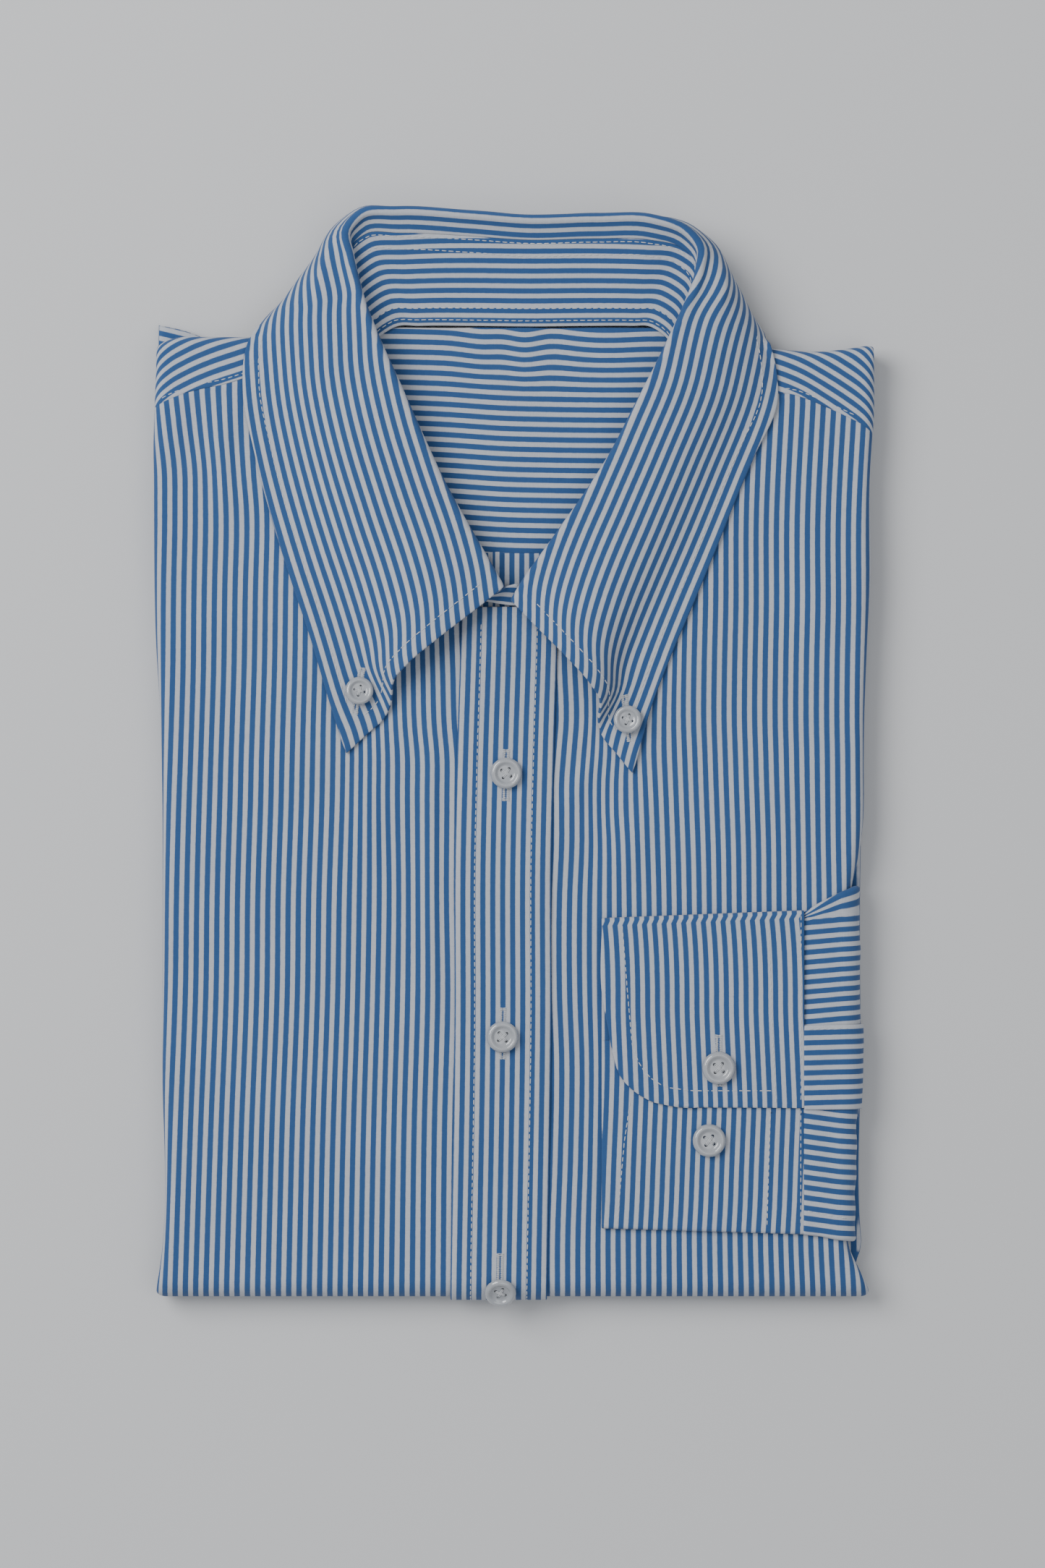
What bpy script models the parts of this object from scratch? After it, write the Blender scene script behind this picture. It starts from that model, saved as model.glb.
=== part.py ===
"""A striped dress shirt, buttoned and folded flat, lying on its back with one cuff on its front.

The tables are in millimetres and the meshes in metres. +Z is up and +Y runs from the bottom fold to
the collar. Right and left are the wearer's, so the right front lies at -X. Every piece of cloth is a
closed wall, and it keeps a small gap to the cloth that it is sewn to or lies on.
"""

import math

import bmesh
import bpy
import numpy as np

MM = 0.001

# Thicknesses and gaps
CLOTH = 1.0
STIFF_CLOTH = 1.2
GAP = 0.3

# The folded body
STACK_TOP = 14.0
FRONT_TOP = STACK_TOP + GAP + CLOTH
BOTTOM_FOLD = -196.0
SIDE_TURN = 4.0
BOTTOM_TURN = 7.2
BOTTOM_CURL = 150.0
SKIRT_END = 7.2
FOLD_REACH = 0.66

# Where the fronts and the yoke rise over the inner yoke and the back
RAISED = CLOTH + GAP
RAISED_X = (95.0, 72.0)
RAISED_Y = (10.0, 40.0)

# Placket and buttons
PLACKET_WIDTH = 34.4
PLACKET_END = 54.0
FRONT_BUTTON = 11.4
COLLAR_BUTTON = 10.2
CUFF_BUTTON = 12.0
BUTTON_HEIGHT = 0.22
HOLE_RADIUS = 0.075
HOLE_SPACING = 0.19

# Collar
FOLD_ROLL = 1.3
STRIP_SHARE = 0.32
STAND_GAP = 1.1
INSIDE_LEAVE = 0.55
EDGE_SHARE = 0.6
DIVE_SHARE = 2.5
SHOULDER_ROOM = 7.4
COLLAR_STATIONS = 58
CURL_LEAD = 14.0

# Body outline: height up the shirt, right side, left side
SIDES = (
    (-197.0, -130.2, 130.3),
    (-188.0, -128.6, 128.6),
    (-104.0, -127.5, 126.8),
    (-52.0, -127.2, 126.5),
    (-6.0, -127.5, 127.2),
    (18.0, -128.2, 127.5),
    (41.0, -129.6, 128.5),
    (65.0, -130.3, 129.7),
    (100.0, -130.8, 129.5),
    (126.0, -130.2, 131.0),
    (160.0, -128.6, 130.4),
)
# How far the left side is drawn in under the sleeve: height up the shirt, distance
SLEEVE_TUCK = (
    (-197.0, 0.2), (-192.0, 0.8), (-186.0, 2.6), (-178.0, 5.2), (-166.0, 5.1), (-150.0, 4.7),
    (-125.0, 4.4), (-100.0, 4.0), (-62.0, 3.7), (-47.0, 3.6), (-36.0, 1.3), (-26.0, 0.1), (0.0, 0.0),
    (160.0, 0.0),
)
# Shoulder folds: across the shirt, height of the fold
SHOULDER_FOLD = (
    (-131.0, 149.0), (-122.0, 152.2), (-110.7, 152.4), (-101.3, 152.4), (-50.0, 151.5), (55.0, 149.5),
    (92.6, 148.2), (110.7, 147.1), (121.7, 148.2), (131.0, 149.7),
)
# Top of the lower layers, which peek out at the right shoulder
LOWER_TOP = (
    (-131.0, 157.8), (-118.8, 155.2), (-110.7, 152.0), (-90.0, 149.5), (90.0, 146.5), (131.0, 147.5),
)
# Seams between yoke and fronts: across the shirt, height of the seam
RIGHT_YOKE_SEAM = (
    (-131.0, 125.9), (-126.9, 128.5), (-117.0, 132.4), (-104.0, 135.3), (-97.9, 137.2), (-52.0, 145.0),
)
LEFT_YOKE_SEAM = (
    (58.0, 140.0), (95.8, 131.8), (99.7, 131.7), (110.7, 128.0), (118.0, 124.8), (127.2, 119.9),
    (131.5, 116.2),
)
# Neck edges of the fronts: height, inner edge
RIGHT_NECK = (
    (50.0, -17.5), (53.0, -15.0), (57.0, -11.6), (66.0, -17.2), (76.0, -23.6), (88.0, -30.2),
    (101.0, -36.8), (113.0, -42.6), (125.0, -47.2), (134.0, -50.4), (156.0, -52.0),
)
LEFT_NECK = (
    (48.0, -16.8), (52.0, -8.0), (55.5, 6.4), (60.5, 11.2), (70.0, 17.6), (80.5, 25.2), (92.0, 33.6),
    (105.0, 42.0), (119.0, 49.6), (131.0, 55.0), (139.5, 58.0), (156.0, 58.6),
)
# Placket's sewn edge: height, place
PLACKET_EDGE = (
    (-200.0, -22.5), (-192.0, -22.4), (-93.0, -20.9), (-40.0, -20.9), (0.0, -20.0), (52.0, -18.5),
    (60.0, -18.4),
)
# Soft folds of the fronts: from x y, to x y, half width, height
FRONT_FOLDS = (
    (-29.5, 14.0, -30.0, -104.0, 4.0, 1.0),
    (-54.0, -2.0, -50.5, -40.0, 5.0, 0.8),
    (-107.0, 118.0, -104.0, 84.0, 5.0, 0.8),
    (26.5, 0.0, 21.5, -20.0, 4.0, 0.9),
    (48.0, -14.0, 40.0, -44.0, 5.0, 0.8),
    (104.0, 96.0, 108.0, 40.0, 6.0, 0.6),
)
# Layers of the folded stack from the table up: height, side inset, bottom inset, top inset, bundle
LAYERS = (
    (0.0, 1.8, 6.6, 1.8, "lower"),
    (0.6, 0.7, 5.8, 0.7, "lower"),
    (1.8, 0.3, 5.6, 0.3, "lower"),
    (2.9, 0.6, 5.1, 0.6, "lower"),
    (3.3, 1.2, 4.4, 1.2, "lower"),
    (3.7, 0.6, 3.8, 0.6, "lower"),
    (4.7, 0.2, 3.0, 0.2, "lower"),
    (5.9, 0.5, 2.2, 0.5, "lower"),
    (6.6, 1.6, 1.9, 1.6, "lower"),
    (6.9, 3.2, 2.1, 3.2, "upper"),
    (7.3, 1.9, 1.9, 1.9, "upper"),
    (8.2, 1.9, 1.8, 1.9, "upper"),
    (11.0, 1.9, 2.8, 1.9, "upper"),
    (12.2, 2.2, 3.7, 2.2, "upper"),
    (13.3, 2.8, 5.0, 2.8, "upper"),
    (STACK_TOP, 4.2, 8.2, 4.2, "upper"),
)
# Extra inset of the lower layers beside the bottom fold
LOWER_CORNER_INSET = 1.7

# Collar sections from the right point round the back to the left point. Columns: fold x y z; the
# bearing in which the leaf falls; the turn of its fold, 90 where the leaf lies over the stand and
# negative where it hangs under it; hip, foot and edge of the fall, each as a distance along the
# bearing and a height; the stand's seam x y z.
COLLAR = (
    (-3.3, 62.0, 23.4, 226.6, 90, 50.0, 24.6, 62.0, 17.0, 83.0, 16.4, -12.5, 57.0, 18.9),
    (-9.0, 72.0, 24.0, 221.6, 90, 44.0, 24.4, 59.0, 17.4, 76.9, 16.9, -18.0, 65.5, 17.7),
    (-16.0, 84.0, 24.7, 216.9, 90, 38.0, 24.2, 56.0, 18.2, 70.7, 17.6, -24.5, 76.0, 17.5),
    (-24.0, 98.5, 25.5, 213.0, 90, 32.0, 24.6, 55.0, 18.2, 66.2, 17.4, -31.0, 87.5, 17.5),
    (-32.0, 115.5, 26.2, 208.2, 90, 28.0, 25.2, 53.0, 17.6, 62.4, 16.8, -37.5, 100.5, 17.5),
    (-40.0, 133.5, 26.8, 202.8, 88, 24.5, 25.8, 50.0, 17.0, 58.0, 16.4, -43.5, 113.0, 17.5),
    (-47.5, 150.0, 27.3, 198.8, 80, 22.0, 26.0, 46.5, 17.0, 52.8, 16.4, -48.0, 124.5, 17.5),
    (-53.0, 163.6, 27.8, 197.0, 66, 19.0, 26.2, 38.0, 20.0, 44.5, 16.5, -51.0, 132.5, 17.6),
    (-54.6, 168.3, 27.9, 194.0, 54, 18.0, 25.8, 32.0, 18.5, 35.5, 10.0, -51.7, 136.5, 17.7),
    (-56.2, 173.3, 28.0, 189.0, 42, 16.0, 25.0, 24.0, 13.5, 23.0, 3.5, -52.0, 140.5, 17.7),
    (-58.4, 181.0, 28.0, 177.0, 22, 9.0, 24.0, 12.8, 12.0, 9.5, 1.9, -51.5, 146.5, 17.6),
    (-60.0, 190.0, 28.0, 155.0, 2, 3.5, 21.5, 4.5, 10.0, -4.0, 1.7, -49.5, 151.5, 16.9),
    (-54.5, 196.6, 28.0, 108.0, -25, 1.5, 20.0, 0.0, 7.0, -15.0, 1.4, -43.0, 155.9, 16.1),
    (-42.0, 197.8, 28.0, 93.0, -45, 0.5, 20.0, -5.0, 6.0, -24.0, 1.3, -34.0, 156.4, 15.9),
    (-15.0, 196.4, 27.4, 90.0, -45, 0.5, 20.0, -5.0, 6.0, -24.0, 1.3, -14.0, 156.4, 15.9),
    (5.4, 194.9, 27.0, 90.0, -45, 0.5, 20.0, -5.0, 6.0, -24.0, 1.3, 5.4, 156.2, 15.9),
    (30.0, 195.4, 27.4, 90.0, -45, 0.5, 20.0, -5.0, 6.0, -24.0, 1.3, 27.0, 156.4, 15.9),
    (50.0, 194.9, 28.0, 87.0, -45, 0.5, 20.0, -5.0, 6.0, -24.0, 1.3, 43.0, 156.4, 15.9),
    (62.0, 190.6, 28.0, 62.0, -20, 2.0, 20.0, 0.0, 7.0, -13.0, 1.4, 50.0, 156.0, 16.2),
    (67.5, 183.5, 28.0, 28.0, 5, 4.0, 21.5, 5.0, 10.0, -3.0, 1.7, 55.5, 152.2, 16.8),
    (66.5, 175.5, 28.0, 8.0, 30, 8.5, 24.0, 11.0, 12.0, 8.0, 2.2, 58.5, 147.0, 17.6),
    (64.3, 169.0, 27.9, -6.0, 48, 13.0, 25.0, 18.5, 14.5, 17.5, 4.5, 59.4, 143.0, 17.7),
    (62.0, 164.0, 27.7, -12.0, 60, 15.5, 25.2, 24.5, 17.0, 26.5, 8.5, 59.5, 140.5, 17.7),
    (58.5, 156.5, 27.4, -17.0, 76, 18.0, 25.4, 31.5, 19.5, 37.0, 15.5, 59.0, 137.0, 17.6),
    (51.5, 142.0, 27.0, -18.0, 86, 20.0, 25.4, 40.0, 17.4, 45.9, 16.4, 56.0, 129.0, 17.5),
    (44.0, 127.5, 26.5, -21.9, 90, 21.0, 25.4, 41.0, 17.4, 46.9, 16.5, 50.5, 118.0, 17.5),
    (35.0, 110.0, 26.0, -22.6, 90, 22.0, 25.2, 41.0, 18.0, 48.2, 17.0, 43.0, 104.5, 17.5),
    (26.5, 96.5, 25.3, -29.0, 90, 26.0, 24.8, 43.0, 18.4, 51.5, 17.5, 34.5, 92.0, 17.5),
    (18.0, 84.5, 24.7, -34.0, 90, 30.0, 24.5, 45.0, 18.5, 55.5, 17.6, 26.0, 80.5, 17.5),
    (10.5, 74.0, 24.0, -39.6, 90, 34.0, 24.6, 46.0, 18.3, 59.7, 17.5, 18.5, 70.0, 17.5),
    (4.0, 65.0, 23.6, -46.5, 90, 41.0, 24.8, 50.0, 17.2, 66.1, 16.8, 12.0, 60.5, 17.7),
    (-0.7, 57.2, 23.2, -55.0, 90, 47.0, 25.0, 56.5, 16.9, 76.4, 16.4, 7.5, 55.6, 18.6),
)
# The points' front edges: share of the way to the tip, bow across it
FRONT_EDGE_BOW = ((0.0, 0.0), (0.17, 2.0), (0.36, 4.4), (0.54, 5.9), (0.63, 5.2), (0.7, 0.8),
                  (0.76, -1.0), (0.88, -0.6), (1.0, 0.0))
# The stand's right end in the neck, lapping over its left end. Columns: place, top x y z, seam x y z
STAND_LAP = (
    ("end", 1.6, 62.4, 20.2, 0.6, 54.9, 18.9),
    ("lap", -2.8, 61.3, 20.7, -5.6, 55.8, 18.9),
)

# Cuff outline: height up the shirt, outer edge of the upper flap
CUFF_FLAP_EDGE = (
    (-128.0, 62.0), (-126.7, 60.0), (-125.3, 52.5), (-123.4, 48.0), (-120.0, 43.0), (-116.0, 39.4),
    (-109.0, 36.8), (-98.0, 34.6), (-87.0, 32.6), (-55.0, 32.6),
)
CUFF_LEFT = 32.0
CUFF_SEAM = 105.0
CUFF_TOP_FOLD = -58.6
CUFF_BOTTOM_FOLD = -170.2
CUFF_SLANT_TOP = 2.8
CUFF_SLANT_BOTTOM = -2.2
FLAP_END = -126.7
UNDER_FLAP_END = -103.0

# Sleeve between the cuff and the side
SLEEVE_START = CUFF_SEAM + 0.5
SLEEVE_SLANT_TOP = 9.0
SLEEVE_SLANT_BOTTOM = -3.0
SLEEVE_SLIT = (-112.0, -118.0)
SLEEVE_PLACKET = (-97.4, -127.2)

# Extra room where cloth goes round the body's side, alone and by its level, and how far it then hangs
SIDE_EASE = 0.2
SIDE_SPREAD = 0.12
SLEEVE_SKIRT = 3.2

# Levels of the cloth that lies on the left front, to the middle of each wall
UNDER_LEVEL = GAP + CLOTH / 2
MIDDLE_LEVEL = UNDER_LEVEL + GAP + CLOTH
UPPER_LEVEL = MIDDLE_LEVEL + GAP + CLOTH

STRIPE_CLOTH = (0.40, 0.50, 0.64, 1.0)
INNER_CLOTH = (0.36, 0.46, 0.60, 1.0)
BUTTON_PEARL = (0.78, 0.79, 0.80, 1.0)


def ease(start, end, value):
    """Smooth step from 0 at start to 1 at end."""
    share = np.clip((np.asarray(value, float) - start) / (end - start), 0.0, 1.0)
    return share * share * (3.0 - 2.0 * share)


def through(rows, value, column=1):
    """Smooth curve through a table: its first column is the key, and the column named is read."""
    keys = np.array([row[0] for row in rows], float)
    heights = np.array([row[column] for row in rows], float)
    slopes = np.gradient(heights, keys)
    value = np.clip(np.asarray(value, float), keys[0], keys[-1])
    cell = np.clip(np.searchsorted(keys, value, side="right") - 1, 0, len(keys) - 2)
    step = keys[cell + 1] - keys[cell]
    share = (value - keys[cell]) / step
    return (heights[cell] * (1 + 2 * share) * (1 - share) ** 2
            + slopes[cell] * step * share * (1 - share) ** 2
            + heights[cell + 1] * share ** 2 * (3 - 2 * share)
            + slopes[cell + 1] * step * share ** 2 * (share - 1))


def spread(rows, count):
    """Rows of the collar's table at stations spaced evenly by how far its fold and its edge move."""
    table = np.array(rows, float)
    turn = np.radians(table[:, 3])
    edge = table[:, :2] + np.column_stack((np.cos(turn), np.sin(turn))) * table[:, 9:10]
    edge = np.column_stack((edge, table[:, 10] * DIVE_SHARE))
    reach = np.linalg.norm(np.diff(table[:, :3], axis=0), axis=1)
    reach += EDGE_SHARE * np.linalg.norm(np.diff(edge, axis=0), axis=1)
    keys = np.concatenate(([0.0], np.cumsum(reach)))
    places = np.linspace(0.0, keys[-1], count)
    columns = [through(np.column_stack((keys, column)), places) for column in table.T]
    return np.column_stack(columns)


def bend(start, leave, stops, arrive, count):
    """Points of a smooth curve from start, through stops, with its first and last directions given."""
    knots = np.array([start, *stops], float)
    spans = np.linalg.norm(np.diff(knots, axis=0), axis=1)
    slopes = np.empty_like(knots)
    slopes[0] = leave
    slopes[-1] = arrive
    for index in range(1, len(knots) - 1):
        ahead = (knots[index + 1] - knots[index]) / spans[index]
        behind = (knots[index] - knots[index - 1]) / spans[index - 1]
        slopes[index] = (ahead * spans[index - 1] + behind * spans[index]) / (spans[index - 1] + spans[index])
    keys = np.concatenate(([0.0], np.cumsum(spans)))
    points = []
    for place in np.linspace(0.0, keys[-1], count):
        cell = min(int(np.searchsorted(keys, place, side="right")) - 1, len(spans) - 1)
        share = (place - keys[cell]) / spans[cell]
        points.append(knots[cell] * (1 + 2 * share) * (1 - share) ** 2
                      + slopes[cell] * spans[cell] * share * (1 - share) ** 2
                      + knots[cell + 1] * share ** 2 * (3 - 2 * share)
                      + slopes[cell + 1] * spans[cell] * share ** 2 * (share - 1))
    return np.array(points)


def side_at(height, side):
    """Place of the body's side edge: side is -1 for the right and 1 for the left."""
    if side < 0:
        return through(SIDES, height, 1)
    return through(SIDES, height, 2) - through(SLEEVE_TUCK, height)


def raised(x, y):
    """How far the upper cloth rises over the yoke and the back inside the neck."""
    return RAISED * ease(RAISED_X[0], RAISED_X[1], np.abs(x)) * ease(RAISED_Y[0], RAISED_Y[1], y)


def front_folds(x, y):
    """Height of the soft folds in the fronts."""
    total = np.zeros(np.broadcast(x, y).shape)
    for from_x, from_y, to_x, to_y, half_width, height in FRONT_FOLDS:
        length = math.hypot(to_x - from_x, to_y - from_y)
        along_x = (to_x - from_x) / length
        along_y = (to_y - from_y) / length
        along = ((x - from_x) * along_x + (y - from_y) * along_y) / length
        across = (x - from_x) * along_y - (y - from_y) * along_x
        fade = ease(-0.15, 0.3, along) * ease(1.15, 0.7, along)
        total = total + height * fade * np.exp(-(across / half_width) ** 2)
    return total


def front_height(x, y):
    """Top of the fronts and the outer yoke where they lie flat."""
    return FRONT_TOP + raised(x, y) + front_folds(x, y)


def material(name, colour, roughness):
    """Plain surface with the piece's colour."""
    surface = bpy.data.materials.new(name)
    surface.use_nodes = True
    shader = surface.node_tree.nodes["Principled BSDF"]
    shader.inputs["Base Color"].default_value = colour
    shader.inputs["Roughness"].default_value = roughness
    shader.inputs["Metallic"].default_value = 0.0
    return surface


def place_mesh(name, points, faces, colour=STRIPE_CLOTH, roughness=0.85):
    """Object from points in millimetres, with its faces turned outward."""
    mesh = bpy.data.meshes.new(name)
    mesh.from_pydata([tuple(point * MM) for point in points], [], faces)
    body = bmesh.new()
    body.from_mesh(mesh)
    bmesh.ops.recalc_face_normals(body, faces=body.faces)
    if body.calc_volume(signed=True) < 0.0:
        bmesh.ops.reverse_faces(body, faces=body.faces)
    body.to_mesh(mesh)
    body.free()
    mesh.materials.append(material(name + "_surface", colour, roughness))
    piece = bpy.data.objects.new(name, mesh)
    bpy.context.scene.collection.objects.link(piece)
    mesh.shade_smooth()
    mesh.set_sharp_from_angle(angle=math.radians(40.0))
    return piece


def wall(name, outer, inner, colour=STRIPE_CLOTH):
    """Closed wall between two grids of points, each of rows by columns by three."""
    rows, columns = outer.shape[:2]
    points = np.concatenate((outer.reshape(-1, 3), inner.reshape(-1, 3)))
    count = rows * columns

    def cell(row, column, layer):
        return layer * count + row * columns + column

    faces = []
    for layer in (0, 1):
        for row in range(rows - 1):
            for column in range(columns - 1):
                face = [cell(row, column, layer), cell(row, column + 1, layer),
                        cell(row + 1, column + 1, layer), cell(row + 1, column, layer)]
                faces.append(face if layer == 0 else face[::-1])
    rim = [(0, column) for column in range(columns)]
    rim += [(row, columns - 1) for row in range(1, rows)]
    rim += [(rows - 1, column) for column in range(columns - 2, -1, -1)]
    rim += [(row, 0) for row in range(rows - 2, 0, -1)]
    for index, (row, column) in enumerate(rim):
        next_row, next_column = rim[(index + 1) % len(rim)]
        faces.append([cell(row, column, 0), cell(row, column, 1),
                      cell(next_row, next_column, 1), cell(next_row, next_column, 0)])
    return place_mesh(name, points, faces, colour)


def directions(grid, axis):
    """Direction of a grid's lines at each point, even where the steps are uneven."""
    steps = np.diff(grid, axis=axis)
    steps /= np.linalg.norm(steps, axis=2, keepdims=True)
    first, last = np.take(steps, [0], axis), np.take(steps, [-1], axis)
    return np.concatenate((first, steps), axis) + np.concatenate((steps, last), axis)


def thick_sheet(name, middle, thickness, colour=STRIPE_CLOTH, spare=(0, 0)):
    """Wall of even thickness on both sides of a grid of middle points.

    spare counts the first and last columns that only lend their direction to the sheet's edges.
    """
    normals = np.cross(directions(middle, 0), directions(middle, 1))
    normals /= np.linalg.norm(normals, axis=2, keepdims=True)
    half = normals * thickness / 2
    kept = slice(spare[0], middle.shape[1] - spare[1])
    return wall(name, (middle + half)[:, kept], (middle - half)[:, kept], colour)


def turned_panel(name, side, across, up, inner_edge, fold_edge, open_edge, fold_turn, fold_sign, colour):
    """Panel that lies on the stack, turned down at the body's side and at its fold.

    across holds the flat shares from side to inner edge, up those from fold to open edge. fold_turn
    is the fold's radius and last angle, and fold_sign is -1 for the bottom fold and 1 for a shoulder.
    The side's turn is carried round the fold too, where it reaches less deep.
    """
    fold_radius, fold_angle = fold_turn
    skirt = FRONT_TOP - SKIRT_END
    side_angles = np.radians((90.0, 67.5, 45.0, 22.5))
    shares_x = np.concatenate((np.zeros(len(side_angles) + 1), across))
    steps = round(fold_angle / 25.0)
    rows = [(angle, 0.0, 0.0) for angle in np.radians(np.linspace(fold_angle, fold_angle / steps, steps))]
    if fold_angle <= 90.0:
        rows.insert(0, (math.pi / 2, skirt - fold_radius, 0.0))
    rows += [(0.0, 0.0, share) for share in up]

    def grid(inset):
        side_turn = SIDE_TURN - inset
        turns = np.concatenate(([inset], inset + side_turn * (1 - np.sin(side_angles)),
                                np.full(len(across), SIDE_TURN)))
        drops = np.concatenate(([skirt - inset], side_turn * (1 - np.cos(side_angles)),
                                np.zeros(len(across))))
        points = np.empty((len(rows), len(turns), 3))
        for row, (angle, hang, share_y) in enumerate(rows):
            reach = FOLD_REACH * fold_radius
            reach += (skirt - reach) * float(ease(0.0, up[1], share_y))
            for column, share_x in enumerate(shares_x):
                depth = inset + drops[column] * (reach - inset) / (skirt - inset)
                x = side * (120.0 - 100.0 * share_x)
                for _ in range(4):
                    centre = fold_edge(x) - fold_sign * fold_radius
                    y = centre + fold_sign * math.sin(angle) * (fold_radius - depth)
                    y += share_y * (open_edge(x) - centre)
                    edge = side_at(y, side) - side * turns[column]
                    x = edge + share_x * (inner_edge(y) - edge)
                z = FRONT_TOP - fold_radius + math.cos(angle) * (fold_radius - depth) - hang
                if angle == 0.0:
                    flat = ease(0.0, SIDE_TURN * 3, abs(side_at(y, side) - x))
                    z += raised(x, y) + front_folds(x, y) * flat
                points[row, column] = (x, y, z)
        return points

    return wall(name, grid(0.0), grid(CLOTH), colour)


def build_fronts():
    """Right and left front, from the bottom fold to the yoke seam."""
    across = np.array((0.0, 0.1, 0.2, 0.32, 0.44, 0.56, 0.67, 0.76, 0.83, 0.88, 0.92, 0.96, 1.0))
    up = np.array((0.0, 0.035, 0.07, 0.14, 0.22, 0.3, 0.38, 0.43, 0.47, 0.54, 0.61, 0.67, 0.72, 0.76,
                   0.8, 0.84, 0.88, 0.92, 0.96, 1.0))
    bottom_turn = (BOTTOM_TURN, BOTTOM_CURL)

    def right_inner(y):
        return np.where(y < RIGHT_NECK[0][0], through(PLACKET_EDGE, y) + 1.5, through(RIGHT_NECK, y))

    def left_inner(y):
        return np.where(y < LEFT_NECK[0][0], through(PLACKET_EDGE, y) + 2.1, through(LEFT_NECK, y))

    turned_panel("right_front", -1, across, up, right_inner, lambda x: BOTTOM_FOLD,
                 lambda x: through(RIGHT_YOKE_SEAM, x) - GAP / 2, bottom_turn, -1, STRIPE_CLOTH)
    turned_panel("left_front", 1, across, up, left_inner, lambda x: BOTTOM_FOLD,
                 lambda x: through(LEFT_YOKE_SEAM, x) - GAP / 2, bottom_turn, -1, STRIPE_CLOTH)


def build_outer_yoke():
    """Outer yoke where it rolls over each shoulder to the front seam."""
    across = np.linspace(0.0, 1.0, 9)
    up = np.linspace(0.0, 1.0, 4)
    shoulder_turn = (SIDE_TURN, 90.0)
    turned_panel("outer_yoke_right", -1, across, up, lambda y: through(RIGHT_NECK, y) - 6.0,
                 lambda x: through(SHOULDER_FOLD, x), lambda x: through(RIGHT_YOKE_SEAM, x) + GAP / 2,
                 shoulder_turn, 1, STRIPE_CLOTH)
    turned_panel("outer_yoke_left", 1, across, up, lambda y: through(LEFT_NECK, y) + 6.0,
                 lambda x: through(SHOULDER_FOLD, x), lambda x: through(LEFT_YOKE_SEAM, x) + GAP / 2,
                 shoulder_turn, 1, STRIPE_CLOTH)


def layer_ring(side_inset, bottom_inset, top_inset, bundle):
    """Points round the folded layers at one level."""
    ends = np.array((0.0, 0.03, 0.06, 0.1, 0.15, 0.22, 0.35))
    across = np.concatenate((ends, 1.0 - ends[::-1]))
    heights = np.array((-175.0, -165.0, -150.0, -125.0, -100.0, -75.0, -58.0, -48.0, -38.0, -10.0,
                        40.0, 90.0, 120.0, 135.0, 143.0))

    def left(y):
        if bundle == "upper":
            return side_at(y, 1) - side_inset
        corner = (LOWER_CORNER_INSET + through(SLEEVE_TUCK, y)) * ease(-178.0, -186.0, y)
        return through(SIDES, y, 2) - side_inset - corner

    def right(y):
        corner = LOWER_CORNER_INSET * ease(-178.0, -188.0, y) if bundle == "lower" else 0.0
        return side_at(y, -1) + side_inset + corner

    top_table = LOWER_TOP if bundle == "lower" else SHOULDER_FOLD
    bottom = BOTTOM_FOLD + bottom_inset
    heights = np.concatenate(([bottom + 2.0, bottom + 7.0], heights))
    ring = [(x, bottom) for x in right(bottom) + across * (left(bottom) - right(bottom))]
    ring += [(left(y), y) for y in heights]
    ring += [(x, through(top_table, x) - top_inset) for x in left(147.0) + across * (right(147.0) - left(147.0))]
    ring += [(right(y), y) for y in heights[::-1]]
    return ring


def build_layers():
    """Hidden layers of the folded shirt as one rounded stack, layered at its edges."""
    rings = [layer_ring(*row[1:]) for row in LAYERS]
    size = len(rings[0])
    points = [(x, y, row[0]) for row, ring in zip(LAYERS, rings) for x, y in ring]
    faces = []
    for level in range(len(rings) - 1):
        for index in range(size):
            after = (index + 1) % size
            faces.append([level * size + index, level * size + after,
                          (level + 1) * size + after, (level + 1) * size + index])
    faces.append(list(range(size))[::-1])
    faces.append([(len(rings) - 1) * size + index for index in range(size)])
    place_mesh("folded_layers", np.array(points, float), faces)


def flat_piece(name, rows, columns, top, colour):
    """Wall with a flat underside gap: rows and columns of plan points, and a height function."""
    outer = np.empty((len(rows), len(columns), 3))
    inner = np.empty_like(outer)
    for row, (y, start, end) in enumerate(rows):
        for column, share in enumerate(columns):
            x = start + share * (end - start)
            outer[row, column] = (x, y, top(x, y))
            inner[row, column] = (x, y, top(x, y) - CLOTH)
    wall(name, outer, inner, colour)


def build_inside():
    """Inner yoke and the pleated back, seen through the neck."""
    top = STACK_TOP + GAP + CLOTH
    yoke_rows = [(74.0, -34.0, 33.0), (90.0, -43.0, 43.0), (106.0, -51.0, 52.0), (122.0, -58.0, 60.0),
                 (138.0, -60.0, 64.0), (145.0, -55.0, 60.0), (155.2, -50.0, 54.0)]
    flat_piece("inner_yoke", yoke_rows, np.linspace(0.0, 1.0, 11), lambda x, y: top, INNER_CLOTH)
    back_rows = [(y, -34.0, 33.0) for y in (45.0, 52.0, 58.0, 62.0, 67.0, 73.7)]
    columns = (0.0, 0.2, 0.38, 0.405, 0.43, 0.45, 0.47, 0.52, 0.7, 0.85, 1.0)

    def pleated(x, y):
        return top + 0.8 * ease(57.0, 62.0, y) * ease(-8.6, -7.2, x) * ease(-3.4, -4.2, x)

    flat_piece("back_panel", back_rows, columns, pleated, INNER_CLOTH)


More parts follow.
